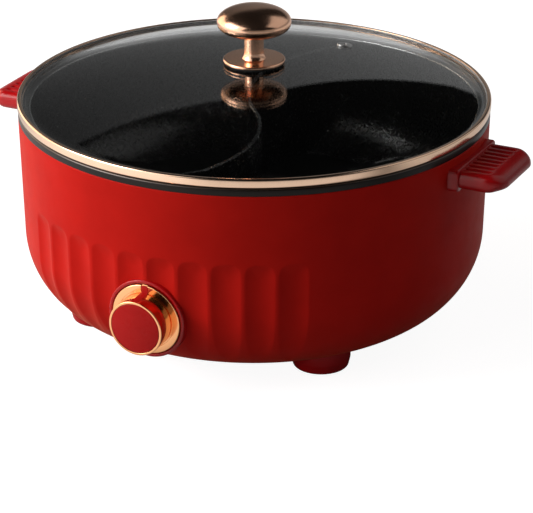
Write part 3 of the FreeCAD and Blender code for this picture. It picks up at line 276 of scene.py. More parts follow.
@dataclass(frozen=True)
class NonStickCoat:
    """Sprayed black non-stick coating: orange-peel film with sparse fine flecks."""

    name: str
    colour: Point
    roughness: float
    specular: float

    def material(self) -> bpy.types.Material:
        """Build the node material of this finish.

        Returns:
            The material.
        """
        graph = Graph(self.name)
        r, g, b = self.colour
        graph.set(Specular_IOR_Level=self.specular)
        fleck = graph.spread(graph.noise(0.7, 1.0), 0.0, 1.0, 0.66, 0.74)
        graph.wire(graph.tint(fleck, self.colour, (r * 1.5, g * 1.5, b * 1.5)),
                   graph.shader.inputs["Base Color"])
        film = graph.noise(2.2, 2.0)
        graph.wire(graph.spread(film, self.roughness * 0.92, self.roughness * 1.08),
                   graph.shader.inputs["Roughness"])
        graph.bump(film, 0.0015)
        return graph.material


@dataclass(frozen=True)
class TemperedGlass:
    """Clear pressed glass, very slightly wavy."""

    name: str
    colour: Point
    roughness: float = 0.0

    def material(self) -> bpy.types.Material:
        """Build the node material of this finish.

        Returns:
            The material.
        """
        graph = Graph(self.name)
        graph.set(Base_Color=(*self.colour, 1.0), Roughness=self.roughness,
                  Transmission_Weight=1.0, IOR=1.5)
        graph.bump(graph.noise(90.0, 1.0), 0.05)
        return graph.material


@dataclass(frozen=True)
class MouldedRubber:
    """Dull black rubber or silicone with a soft, dusty surface."""

    name: str
    colour: Point
    roughness: float

    def material(self) -> bpy.types.Material:
        """Build the node material of this finish.

        Returns:
            The material.
        """
        graph = Graph(self.name)
        r, g, b = self.colour
        dust = graph.spread(graph.noise(3.0, 5.0), 0.0, 1.0)
        graph.wire(graph.tint(dust, self.colour, (r * 1.5, g * 1.5, b * 1.5)),
                   graph.shader.inputs["Base Color"])
        graph.wire(graph.spread(dust, self.roughness * 0.9, min(self.roughness * 1.1, 1.0)),
                   graph.shader.inputs["Roughness"])
        graph.set(Specular_IOR_Level=0.35)
        graph.bump(graph.noise(0.4, 3.0), 0.02)
        return graph.material


class Finishes:
    """Every finish of the pot, each made once."""

    PLANS: dict[str, MouldedPlastic | PlatedMetal | RolledSteel | NonStickCoat
                | TemperedGlass | MouldedRubber] = {
        "shell_red": MouldedPlastic("shell_red", (0.56, 0.010, 0.006), 0.5, specular=0.06,
                                    bloom=0.15, bloom_colour=(1.0, 0.46, 0.22)),
        "gloss_red": MouldedPlastic("gloss_red", (0.47, 0.005, 0.007), 0.24, 0.6, 0.006,
                                    specular=0.32),
        "cap_red": MouldedPlastic("cap_red", (0.50, 0.009, 0.008), 0.28, 0.5, 0.006,
                                  specular=0.12),
        "rose_gold": PlatedMetal("rose_gold", (0.86, 0.60, 0.43), 0.14),
        "knob_copper": PlatedMetal("knob_copper", (0.93, 0.56, 0.38), 0.20),
        "dial_gold": PlatedMetal("dial_gold", (0.93, 0.47, 0.22), 0.12),
        "pan_black": NonStickCoat("pan_black", (0.004, 0.004, 0.004), 0.27, 0.6),
        "pan_floor": NonStickCoat("pan_floor", (0.003, 0.003, 0.003), 0.45, 0.25),
        "flange_black": NonStickCoat("flange_black", (0.016, 0.012, 0.010), 0.3, 0.16),
        "ledge_grey": RolledSteel("ledge_grey", (0.30, 0.30, 0.30), 0.3, (1.0, 1.0, 1.0)),
        # Painted highlight: bright metal on the pan mouth's rounded edge, there to give it a thin
        # bright line.
        "bare_edge": RolledSteel("bare_edge", (0.85, 0.85, 0.85), 0.16, (1.0, 1.0, 1.0)),
        # Painted highlight: a metal strip on the flange's rounded top edge, there to give it a thin
        # light line.
        "worn_edge": RolledSteel("worn_edge", (0.09, 0.08, 0.075), 0.32, (1.0, 1.0, 1.0)),
        "lid_glass": TemperedGlass("lid_glass", (0.95, 0.97, 0.97)),
        "seal_black": MouldedRubber("seal_black", (0.012, 0.012, 0.012), 0.6),
        "seal_clear": MouldedRubber("seal_clear", (0.36, 0.36, 0.36), 0.35),
        "bright_steel": RolledSteel("bright_steel", (0.62, 0.62, 0.62), 0.3),
        "aluminium": RolledSteel("aluminium", (0.75, 0.75, 0.76), 0.42, (1.0, 1.0, 1.0)),
        "heater_steel": RolledSteel("heater_steel", (0.34, 0.31, 0.29), 0.45),
        "black_plastic": MouldedPlastic("black_plastic", (0.022, 0.022, 0.024), 0.5, 0.5, 0.03),
        "cutout_white": MouldedPlastic("cutout_white", (0.8, 0.78, 0.72), 0.45),
        "brass": RolledSteel("brass", (0.78, 0.62, 0.34), 0.25),
    }

    def __init__(self) -> None:
        """Build the materials."""
        self.made = {name: plan.material() for name, plan in self.PLANS.items()}

    def dress(self, thing: bpy.types.Object, name: str) -> None:
        """Put one finish on every slot of an object.

        Args:
            thing: the object.
            name: the finish's name.
        """
        slots = thing.data.materials
        if not len(slots):
            slots.append(self.made[name])
        for index in range(len(slots)):
            slots[index] = self.made[name]


# Mesh tools


def rounded(corners: Sequence[Corner], closed: bool = True, steps: int = 7) -> Outline:
    """Swap each corner of an outline for an arc.

    Args:
        corners: (across, up, radius of rounding) for each corner, in mm.
        closed: whether the last corner joins the first.
        steps: number of short runs in each arc.

    Returns:
        The outline's points.
    """
    points: Outline = []
    count = len(corners)
    for index, (x, y, radius) in enumerate(corners):
        at_end = not closed and index in (0, count - 1)
        if radius <= 0 or at_end:
            points.append((x, y))
            continue
        here = Vector((x, y))
        back = Vector(corners[index - 1][:2]) - here
        on = Vector(corners[(index + 1) % count][:2]) - here
        half = back.angle(on) / 2
        reach = min(radius / math.tan(half), back.length * 0.499, on.length * 0.499)
        start = here + back.normalized() * reach
        end = here + on.normalized() * reach
        centre = here + (back.normalized() + on.normalized()).normalized() * (
            reach / math.cos(half))
        first = start - centre
        turn = first.angle_signed(end - centre)
        for step in range(steps + 1):
            arm = first.copy()
            arm.rotate(Matrix.Rotation(-turn * step / steps, 2))
            points.append(tuple(centre + arm))
    return points


def arc(cx: float, cy: float, radius: float, start: float, end: float,
        steps: int) -> list[Corner]:
    """Points along an arc as sharp corners, angles in degrees.

    Args:
        cx: the centre's place across, in mm.
        cy: the centre's level, in mm.
        radius: the arc's radius.
        start: the first angle.
        end: the last angle.
        steps: number of short runs.

    Returns:
        The points, each with no rounding.
    """
    places = [math.radians(start + (end - start) * step / steps) for step in range(steps + 1)]
    return [(cx + radius * math.cos(a), cy + radius * math.sin(a), 0.0) for a in places]


def from_faces(name: str, points: Sequence[Point], faces: Sequence[Sequence[int]],
               smooth_angle: float = SMOOTH_ANGLE) -> bpy.types.Object:
    """Make an object from points in metres, with outward faces and clean smoothing.

    Args:
        name: the object's name.
        points: the points.
        faces: the points' numbers in each face.
        smooth_angle: greatest angle between faces that is smoothed, in radians.

    Returns:
        The new object.
    """
    mesh = bpy.data.meshes.new(name)
    mesh.from_pydata(points, [], faces)
    work = bmesh.new()
    work.from_mesh(mesh)
    bmesh.ops.remove_doubles(work, verts=work.verts, dist=1e-7)
    bmesh.ops.recalc_face_normals(work, faces=work.faces)
    work.to_mesh(mesh)
    work.free()
    mesh.shade_smooth()
    mesh.set_sharp_from_angle(angle=smooth_angle)
    thing = bpy.data.objects.new(name, mesh)
    bpy.context.scene.collection.objects.link(thing)
    return thing


def lathe(name: str, outline: Outline, sides: int = 192, closed: bool = True,
          stand: Matrix | None = None,
          shift: Callable[[float, float, float], tuple[float, float]] | None = None,
          angles: Sequence[float] | None = None) -> bpy.types.Object:
    """Turn an outline about the Z axis into a mesh.

    Args:
        name: the object's name.
        outline: (radius, height) points in mm.
        sides: number of columns, if no angles are given.
        closed: whether the outline's last point joins its first.
        stand: where the turned form stands, in mm.
        shift: moves a point, from (radius, height, angle) to a new (radius, height).
        angles: the columns' angles in radians, for uneven spacing.

    Returns:
        The new object.
    """
    columns = list(angles) if angles else [2 * math.pi * k / sides for k in range(sides)]
    matrix = stand or Matrix.Identity(4)
    points: list[Point] = []
    for angle in columns:
        for radius, height in outline:
            r, z = shift(radius, height, angle) if shift else (radius, height)
            spot = matrix @ Vector((r * math.cos(angle), r * math.sin(angle), z))
            points.append(tuple(spot * MM))
    faces = []
    rows, turns = len(outline), len(columns)
    for k in range(turns):
        here, there = k * rows, (k + 1) % turns * rows
        for row in range(rows if closed else rows - 1):
            after = (row + 1) % rows
            if outline[row][0] < 1e-6 and outline[after][0] < 1e-6:
                continue
            faces.append((here + row, here + after, there + after, there + row))
    return from_faces(name, points, faces)


def loft(name: str, rings: Sequence[Sequence[Point]], stand: Matrix | None = None,
         smooth_angle: float = SMOOTH_ANGLE) -> bpy.types.Object:
    """Skin a row of closed rings of equal count, in mm, and close both ends.

    Args:
        name: the object's name.
        rings: the rings' points.
        stand: where the form stands, in mm.
        smooth_angle: greatest angle between faces that is smoothed, in radians.

    Returns:
        The new object.
    """
    matrix = stand or Matrix.Identity(4)
    count = len(rings[0])
    points = [tuple((matrix @ Vector(p)) * MM) for ring in rings for p in ring]
    faces: list[tuple[int, ...]] = []
    for level in range(len(rings) - 1):
        low, high = level * count, (level + 1) * count
        for k in range(count):
            after = (k + 1) % count
            faces.append((low + k, low + after, high + after, high + k))
    faces.append(tuple(reversed(range(count))))
    faces.append(tuple(range((len(rings) - 1) * count, len(rings) * count)))
    return from_faces(name, points, faces, smooth_angle)


def bevelled_copy(name: str, node: str, width_mm: float, segments: int = 3,
                  angle: float = 25.0) -> bpy.types.Object:
    """Copy a node's mesh, merge its flat triangles and round its edges.

    Args:
        name: the new object's name.
        node: the node that is copied.
        width_mm: width of the rounding.
        segments: number of runs across the rounding.
        angle: least angle between faces that counts as an edge, in degrees.

    Returns:
        The new object, smooth-shaded.
    """
    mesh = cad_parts[node].data.copy()
    mesh.name = name
    work = bmesh.new()
    work.from_mesh(mesh)
    bmesh.ops.remove_doubles(work, verts=work.verts, dist=2e-6)
    bmesh.ops.dissolve_limit(work, angle_limit=math.radians(0.4), verts=work.verts,
                             edges=work.edges)
    bmesh.ops.recalc_face_normals(work, faces=work.faces)
    work.to_mesh(mesh)
    work.free()
    thing = bpy.data.objects.new(name, mesh)
    bpy.context.scene.collection.objects.link(thing)
    mesh.shade_smooth()
    rounding = thing.modifiers.new("edges", "BEVEL")
    rounding.width = width_mm * MM
    rounding.segments = segments
    rounding.limit_method = "ANGLE"
    rounding.angle_limit = math.radians(angle)
    rounding.harden_normals = True
    rounding.use_clamp_overlap = True
    return thing


def settle(thing: bpy.types.Object, body: Body, slot: str, *nodes: str) -> None:
    """Ride a piece on its body and hide the nodes that it stands for.

    Args:
        thing: the piece.
        body: the body that it rides on.
        slot: its material slot; not used.
        nodes: the nodes that it replaces.
    """
    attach(thing, body.value)
    if nodes:
        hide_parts(*nodes)
    log.info("%s: %d faces on %s", thing.name, len(thing.data.polygons), body.value)


def cup_corner(top_radius: float, top: float, base: float, corner: float,
               taper: float) -> tuple[float, float]:
    """Centre of the round corner between a cup's flat base and its tapered wall.

    Args:
        top_radius: radius at the top of the wall, in mm.
        top: level of the top.
        base: level of the flat base.
        corner: the corner's radius.
        taper: the wall's lean from upright, in degrees.

    Returns:
        Its radius and level.
    """
    lean = math.radians(taper)
    level = base + corner
    return top_radius - (corner + (top - level) * math.sin(lean)) / math.cos(lean), level


# Sub-assemblies


@dataclass
class OuterShell:
    """The moulded shell with its row of soft-edged flutes."""

    finishes: Finishes
    radius: float = 169.5
    top: float = 153.5
    base: float = 8.0
    corner: float = 60.0
    taper: float = 1.6
    wall: float = 2.5
    opening: float = 84.7
    recess: float = 92.0
    cover_top: float = 10.5
    flutes: int = 10
    pitch: float = 7.9
    width: float = 22.4
    depth: float = 1.9
    flute_top: float = 104.8
    squareness: float = 3.2
    fade: float = 6.0
    sweep: float = 62.0
    softness: float = 0.10
    dial_hole: float = 27.6
    inlet_hole: tuple[float, float] = (21.2, 12.2)
    dial_level: float = 55.5
    inlet_level: float = 48.0
    hole_zone: float = 100.0
    flute_limit: float = 108.0
    lip: float = 0.8
    inner_recess: float = 94.2
    ring_top: float = 13.0
    fine_front: float = 44.0
    fine_rear: float = 11.0

    def __post_init__(self) -> None:
        """Work out the flute's cutting curve."""
        self.centre = cup_corner(self.radius, self.top, self.base, self.corner, self.taper)
        self.lean = math.radians(self.taper)
        self.curve = (self.width ** 2 / 4 + self.depth ** 2) / (2 * self.depth)
        self.path = self.corner + self.curve - self.depth
        self.run = (self.flute_top - self.centre[1]) / math.cos(self.lean) - self.width / 2

    def flute_depth(self, radius: float, height: float, angle: float, growth: float) -> float:
        """How far a flute sinks a point of the surface, blended softly at its edge.

        Args:
            radius: the point's distance from the axis.
            height: the point's level.
            angle: its direction about the axis, in radians.
            growth: wall thickness between the point and the outside.

        Returns:
            The depth in mm.
        """
        front = math.degrees(angle) % 360 - 270
        number = round(front / self.pitch + (self.flutes - 1) / 2)
        number = min(max(number, 0), self.flutes - 1)
        away = math.radians(front - (number - (self.flutes - 1) / 2) * self.pitch)
        out = radius * math.cos(away) - self.centre[0]
        side = radius * math.sin(away)
        rise = height - self.centre[1]
        x = out * math.cos(self.lean) - rise * math.sin(self.lean)
        z = out * math.sin(self.lean) + rise * math.cos(self.lean)
        if z >= 0:
            above = max(z - self.run, 0.0)
            power = self.squareness
            across = (abs(side) ** power + above ** power) ** (1.0 / power)
            reach = math.hypot(x - self.path, across)
        else:
            turn = math.atan2(-z, x + self.fade)
            turn = min(turn, math.radians(self.sweep))
            big = self.path + self.fade
            axis_x = big * math.cos(turn) - self.fade
            axis_z = -big * math.sin(turn)
            reach = math.sqrt((x - axis_x) ** 2 + side ** 2 + (z - axis_z) ** 2)
        sunk = self.curve + growth - reach
        soft = self.softness
        return soft * math.log1p(math.exp(max(min(sunk / soft, 40.0), -40.0)))

    def profile(self) -> list[tuple[float, float, float, float, float]]:
        """Outline of the wall: (radius, height, normal out, normal up, wall grown).

        Returns:
            The rows, from the base round the outside and back down the inside.
        """
        cx, cz = self.centre
        rows: list[tuple[float, float, float, float, float]] = []
        rows += [(r, self.base, 0.0, -1.0, 0.0) for r in (self.recess, 96.0, 100.0, 104.0)]
        for step in range(57):
            a = math.radians(-90) + (math.radians(90) - self.lean) * step / 56
            rows.append((cx + self.corner * math.cos(a), cz + self.corner * math.sin(a),
                         math.cos(a), math.sin(a), 0.0))
        slope = (math.cos(self.lean), -math.sin(self.lean))
        start_z = rows[-1][1]
        levels = [start_z + 0.8 * k for k in range(1, 54)]
        levels += [levels[-1] + 4.0 * k for k in range(1, 11)] + [self.top - 2.4]
        for z in levels:
            rows.append((self.radius - (self.top - z) * math.tan(self.lean), z, *slope, 0.0))
        for a in (0, 25, 50, 75, 90):
            turn = math.radians(a)
            rows.append((self.radius - self.lip + self.lip * math.cos(turn),
                         self.top - self.lip + self.lip * math.sin(turn), *slope, 0.0))
        inner = self.radius - self.wall
        rows.append((inner, self.top, *slope, 0.0))
        for z in [self.top - 6.0 * k for k in range(1, 9)] + [104.0 - 2.0 * k for k in range(19)]:
            rows.append((inner - (self.top - z) * math.tan(self.lean), z, *slope, self.wall))
        for step in range(37):
            a = -self.lean - (math.radians(90) - self.lean) * step / 36
            arm = self.corner - self.wall
            rows.append((cx + arm * math.cos(a), cz + arm * math.sin(a),
                         math.cos(a), math.sin(a), self.wall))
        rows += [(self.inner_recess, self.cover_top, 0.0, -1.0, self.wall),
                 (self.inner_recess, self.ring_top, 0.0, -1.0, self.wall),
                 (self.opening, self.ring_top, 0.0, -1.0, self.wall),
                 (self.opening, self.cover_top, 0.0, -1.0, self.wall),
                 (self.recess, self.cover_top, 0.0, -1.0, self.wall)]
        return rows

    def columns(self) -> list[float]:
        """Angles of the columns: close over the flutes and the inlet, wide elsewhere.

        Returns:
            The angles in radians.
        """
        marks: list[float] = []
        angle = 0.0
        while angle < 360 - 1e-6:
            marks.append(math.radians(angle))
            front = abs(angle - 270)
            rear = abs(angle - 90)
            angle += 0.2 if front < self.fine_front else 0.5 if rear < self.fine_rear else 1.0
        return marks

    def build(self) -> None:
        """Build the fluted wall, open at the dial and the inlet."""
        rows = self.profile()
        marks = self.columns()
        points: list[Point] = []
        for angle in marks:
            for radius, height, out, up, growth in rows:
                fluted = height < self.flute_limit and up != -1.0
                depth = self.flute_depth(radius, height, angle, growth) if fluted else 0.0
                r = radius - out * depth
                points.append((r * math.cos(angle) * MM, r * math.sin(angle) * MM,
                               (height - up * depth) * MM))
        faces = []
        count, turns = len(rows), len(marks)
        for k in range(turns):
            here, there = k * count, (k + 1) % turns * count
            for row in range(count):
                after = (row + 1) % count
                face = (here + row, here + after, there + after, there + row)
                if not self.in_hole([points[i] for i in face]):
                    faces.append(face)
        shell = from_faces("shell_wall", points, faces)
        self.finishes.dress(shell, "shell_red")
        settle(shell, Body.BASE, "shell_red", "outer_shell")

    def in_hole(self, corners: Sequence[Point]) -> bool:
        """Whether a face lies in the dial's or the inlet's hole, hidden by their walls.

        Args:
            corners: the face's corners, in metres.

        Returns:
            True where the face is left out.
        """
        x = sum(p[0] for p in corners) / len(corners) / MM
        y = sum(p[1] for p in corners) / len(corners) / MM
        z = sum(p[2] for p in corners) / len(corners) / MM
        if y < -self.hole_zone:
            return math.hypot(x, z - self.dial_level) < self.dial_hole
        half_width, half_height = self.inlet_hole
        return y > self.hole_zone and abs(x) < half_width and abs(z - self.inlet_level) < half_height


class PanPatch(Enum):
    """Finishes of the pan besides its walls' coat, in the order of its further slots."""

    FLANGE = "flange_black"
    LEDGE = "ledge_grey"
    EDGE = "bare_edge"
    WORN = "worn_edge"
    FLOOR = "pan_floor"


@dataclass
class Pan:
    """The coated pan with its stepped flange, and the S-shaped divider across it."""

    finishes: Finishes
    mouth: float = 160.0
    flange: float = 169.5
    ledge: float = 164.4
    ledge_level: float = 156.4
    flange_top: float = 158.7
    shell_top: float = 153.5
    floor: float = 72.0
    under: float = 68.5
    corner: float = 28.0
    fillet: float = 40.0
    wall: float = 3.0
    taper: float = 1.6
    divider_top: float = 152.0
    divider_thick: float = 3.2
    divider_curve: float = 121.7
    divider_offset: float = 91.7
    divider_half: float = 80.0
    rim_drop: float = 0.9
    rim_inset: float = 1.0
    floor_band: float = 0.8
    edge_band: float = 1.0
    ledge_band: float = 0.4
    # Width and upward share of the normal of the flange edge's painted highlight strip.
    highlight_band: float = 1.3
    highlight_lift: tuple[float, float] = (0.5, 0.97)

    def inside(self) -> list[Corner]:
        """The inner surface from the axis up to the ledge.

        Returns:
            Its corners.
        """
        cx, cz = cup_corner(self.mouth, self.ledge_level, self.floor, self.fillet, self.taper)
        floor = [(r, self.floor, 0.0) for r in (0.0, 40.0, 80.0, 106.0)]
        bend = arc(cx, cz, self.fillet, -90.0, -self.taper, 26)
        wall = [(self.mouth - (self.ledge_level - z) * math.tan(math.radians(self.taper)), z, 0.0)
                for z in (115.0, 125.0, 135.0, 145.0, 150.0)]
        return floor + bend + wall

    def outside(self) -> list[Corner]:
        """The outer surface from under the flange down to the axis.

        Returns:
            Its corners.
        """
        top = self.mouth + self.wall
        cx, cz = cup_corner(top, self.shell_top, self.under, self.corner + self.wall, self.taper)
        bend = arc(cx, cz, self.corner + self.wall, -self.taper, -90.0, 14)
        return [(top, self.shell_top, 0.0)] + bend + [(0.0, self.under, 0.0)]

    def build(self) -> None:
        """Build the pan and its divider."""
        rim: list[Corner] = [
            (self.mouth, self.ledge_level, 0.8), (self.ledge, self.ledge_level, 0.5),
            (self.ledge, self.flange_top, 0.8), (self.flange, self.flange_top, 1.5),
            (self.flange, self.shell_top, 0.4)]
        outline = rounded(self.inside() + rim + self.outside())
        pan = lathe("pan_body", outline, 288)
        self.finishes.dress(pan, "pan_black")
        self.finish_rim(pan)
        settle(pan, Body.BASE, "pan_black", "inner_pan")
        self.build_divider()

    def patch(self, across: float, level: float, lift: float) -> PanPatch | None:
        """Choose the finish of one face of the pan.

        Args:
            across: the face's distance from the axis, in mm.
            level: its height, in mm.
            lift: the upward part of its normal.

        Returns:
            Its patch, or None where the walls' coat stays.
        """
        if level < self.ledge_level - self.rim_drop and across < self.flange - self.rim_inset:
            return PanPatch.FLOOR if level < self.floor + self.floor_band else None
        # The mouth's rounded edge gets bright metal that paints a thin highlight line along it.
        if across < self.mouth + self.edge_band:
            return PanPatch.EDGE
        if across < self.ledge + self.ledge_band:
            return PanPatch.LEDGE
        # The flange's rounded outer top edge gets a metal strip that paints a thin highlight line
        # along it.
        turned = self.highlight_lift[0] < lift < self.highlight_lift[1]
        if turned and across > self.flange - self.highlight_band:
            return PanPatch.WORN
        return PanPatch.FLANGE

    def finish_rim(self, pan: bpy.types.Object) -> None:
        """Give flange, ledge, rim edges and floor their own finishes; the mouth's rounding and the
        flange's rounded top edge get metal strips that paint highlight lines on them.

        Args:
            pan: the pan, with the walls' coat in its first slot.
        """
        patches = list(PanPatch)
        for patch in patches:
            pan.data.materials.append(self.finishes.made[patch.value])
        for face in pan.data.polygons:
            across = math.hypot(face.center.x, face.center.y) / MM
            found = self.patch(across, face.center.z / MM, face.normal.z)
            face.material_index = 0 if found is None else patches.index(found) + 1

    def floor_at(self, radius: float) -> float:
        """Level of the pan's inner surface at a distance from the axis.

        Args:
            radius: the distance, in mm.

        Returns:
            The level, in mm.
        """
        cx, cz = cup_corner(self.mouth, self.ledge_level, self.floor, self.fillet, self.taper)
        if radius <= cx:
            return self.floor
        out = min(radius - cx, self.fillet * 0.999)
        return cz - math.sqrt(self.fillet ** 2 - out ** 2)

    def centre_line(self) -> list[tuple[float, float, float, float]]:
        """Stations along the S as (x, y, normal x, normal y).

        Returns:
            The stations, end to end.
        """
        reach = math.degrees(math.asin(self.divider_half / self.divider_curve))
        stations = []
        for step in range(65):
            angle = math.radians(180 + reach - (2 * reach + 0.3) * step / 64)
            x = self.divider_offset + self.divider_curve * math.cos(angle)
            y = self.divider_half + self.divider_curve * math.sin(angle)
            stations.append((x, y, math.cos(angle), math.sin(angle)))
        near = [(-x, -y, -nx, -ny) for x, y, nx, ny in reversed(stations[1:])]
        return [(x, y, -nx, -ny) for x, y, nx, ny in near] + stations

    def build_divider(self) -> None:
        """Sweep the divider's round-topped section along the S."""
        half = self.divider_thick / 2
        crown = [(half * math.cos(a), self.divider_top - half + half * math.sin(a))
                 for a in (math.radians(18 * k) for k in range(11))]
        rings = []
        for x, y, nx, ny in self.centre_line():
            base = self.floor_at(math.hypot(x, y)) - 0.6
            feet = [(half + 1.4, base), (half + 0.5, base + 1.5), (half, base + 3.4)]
            section = feet + crown + [(-out, up) for out, up in reversed(feet)]
            rings.append([(x + out * nx, y + out * ny, min(up, self.divider_top))
                          for out, up in section])
        wall = loft("pan_partition", rings)
        self.finishes.dress(wall, "pan_black")
        settle(wall, Body.BASE, "pan_black", "pan_divider")


@dataclass
class Lid:
    """Glass dome, plated band, seal and steam eyelet."""

    finishes: Finishes
    radius: float = 170.0
    low: float = 159.0
    high: float = 166.0
    lip: float = 3.0
    foot: float = 4.5
    sheet: float = 0.8
    glass_low: float = 160.5
    glass_high: float = 164.5
    glass_radius: float = 167.9
    dome_edge: float = 163.0
    dome_top: float = 188.6
    hole: float = 4.0

    def __post_init__(self) -> None:
        """Work out the dome's radius."""
        rise = self.dome_top - self.glass_high
        self.dome = (self.dome_edge ** 2 + rise ** 2) / (2 * rise)
        self.centre = self.dome_top - self.dome

    def build_glass(self) -> None:
        """The dome, with its two spherical faces and flat ground edge."""
        inner = self.dome - (self.glass_high - self.glass_low)
        under = math.sqrt(inner ** 2 - (self.glass_low - self.centre) ** 2)

        def sweep(ball: float, start: float, end: float) -> list[Corner]:
            """Points along a sphere's section from one radius to another."""
            spots = [start + (end - start) * k / 40 for k in range(41)]
            return [(r, self.centre + math.sqrt(ball ** 2 - r ** 2), 0.0) for r in spots]

        corners = sweep(inner, self.hole, under - 1.0) + [
            (under + 1.0, self.glass_low, 0.0),
            (self.glass_radius, self.glass_low, 1.2), (self.glass_radius, self.glass_high, 1.2),
            (self.dome_edge + 1.5, self.glass_high, 0.0)]
        corners += sweep(self.dome, self.dome_edge - 1.5, self.hole)
        glass = lathe("lid_dome", rounded(corners), 288)
        self.finishes.dress(glass, "lid_glass")
        settle(glass, Body.LID, "lid_glass", "lid_glass")

    def build_band(self) -> None:
        """The plated band, rolled in over and under the glass."""
        r, s = self.radius, self.sheet
        corners: list[Corner] = [
            (r - self.foot, self.low, 0.3), (r, self.low, 2.2), (r, self.high, 2.4),
            (r - self.lip, self.high - 0.15, 0.35), (r - self.lip, self.high - s, 0.3),
            (r - s, self.high - s, 1.5), (r - s, self.low + s, 1.4),
            (r - self.foot, self.low + s, 0.3)]
        band = lathe("lid_rim", rounded(corners, steps=9), 384)
        self.finishes.dress(band, "rose_gold")
        settle(band, Body.LID, "rose_gold", "lid_band")

    def build_seal(self) -> None:
        """The black seal that fills the band round the glass edge."""
        show = self.radius - self.lip - 0.4
        wall = self.radius - self.sheet
        low, high = self.low + self.sheet, self.high - self.sheet
        corners: list[Corner] = [
            (show, low, 0.3), (wall, low, 0.8), (wall, high, 0.8), (show, high, 0.3),
            (show, self.glass_high, 0.0), (self.glass_radius, self.glass_high, 0.0),
            (self.glass_radius, self.glass_low, 0.0), (show, self.glass_low, 0.0)]
        seal = lathe("lid_seal", rounded(corners), 288)
        self.finishes.dress(seal, "seal_clear")
        settle(seal, Body.LID, "seal_black", "lid_edge_seal")

    def build_eyelet(self) -> None:
        """The pressed steam eyelet, which keeps its own node's shape."""
        eyelet = bevelled_copy("steam_eyelet", "steam_vent_eyelet", 0.2)
        self.finishes.dress(eyelet, "bright_steel")
        settle(eyelet, Body.LID, "bright_steel", "steam_vent_eyelet")

    def build(self) -> None:
        """Build the lid's pieces."""
        self.build_glass()
        self.build_band()
        self.build_seal()
        self.build_eyelet()


@dataclass
class LidKnob:
    """Turned knob on its base disc, with gasket, washer and screw."""

    finishes: Finishes
    seat: float = 192.0
    middle: float = 219.4
    head: float = 26.6
    crown: float = 11.4
    under: float = 9.8
    fullness: float = 2.5
    stem: float = 7.0
    foot: float = 8.6
    flare: float = 5.0
    disc_radius: float = 22.2
    disc_low: float = 189.8

    def head_point(self, turn: float) -> Corner:
        """A point of the head's outline, from straight down at -90 to the top at 90.

        Args:
            turn: the place round the outline, in degrees.

        Returns:
            The point, with no rounding.
        """
        a = math.radians(turn)
        if turn > 0:
            return self.head * math.cos(a), self.middle + self.crown * math.sin(a), 0.0
        power = 2.0 / self.fullness
        return (self.head * math.cos(a) ** power,
                self.middle - self.under * math.sin(-a) ** power, 0.0)

    def build(self) -> None:
        """Build the stack from the glass up."""
        leave = math.degrees(math.acos((self.stem / self.head) ** (self.fullness / 2)))
        bend = (self.flare ** 2 + (self.foot - self.stem) ** 2) / (2 * (self.foot - self.stem))
        flare = [(self.stem + bend - math.sqrt(bend ** 2 - (self.flare * k / 16) ** 2),
                  self.seat + self.flare - self.flare * k / 16, 0.0) for k in range(16, -1, -1)]
        corners: list[Corner] = [(0.0, self.seat, 0.0)] + flare
        join = self.head_point(-leave)
        corners += [(self.stem, join[1], 2.6)]
        corners += [self.head_point(-leave + 6 + (leave - 6) * k / 26) for k in range(27)]
        corners += [self.head_point(90.0 * k / 40) for k in range(1, 41)]
        knob = lathe("knob_head", rounded(corners, closed=False), 192, closed=False)
        self.finishes.dress(knob, "knob_copper")
        settle(knob, Body.LID, "rose_gold", "lid_knob")
        disc = lathe("knob_disc", rounded([
            (0.0, self.disc_low, 0.0), (self.disc_radius, self.disc_low, 0.5),
            (self.disc_radius, self.seat, 1.3), (0.0, self.seat, 0.0)], closed=False),
            160, closed=False)
        self.finishes.dress(disc, "knob_copper")
        settle(disc, Body.LID, "rose_gold", "lid_knob_base")
        for node, finish in (("lid_knob_gasket", "seal_black"), ("lid_knob_washer", "seal_black"),
                             ("lid_knob_screw", "bright_steel")):
            part = bevelled_copy(node + "_dressed", node, 0.25)
            self.finishes.dress(part, finish)
            settle(part, Body.LID, finish, node)


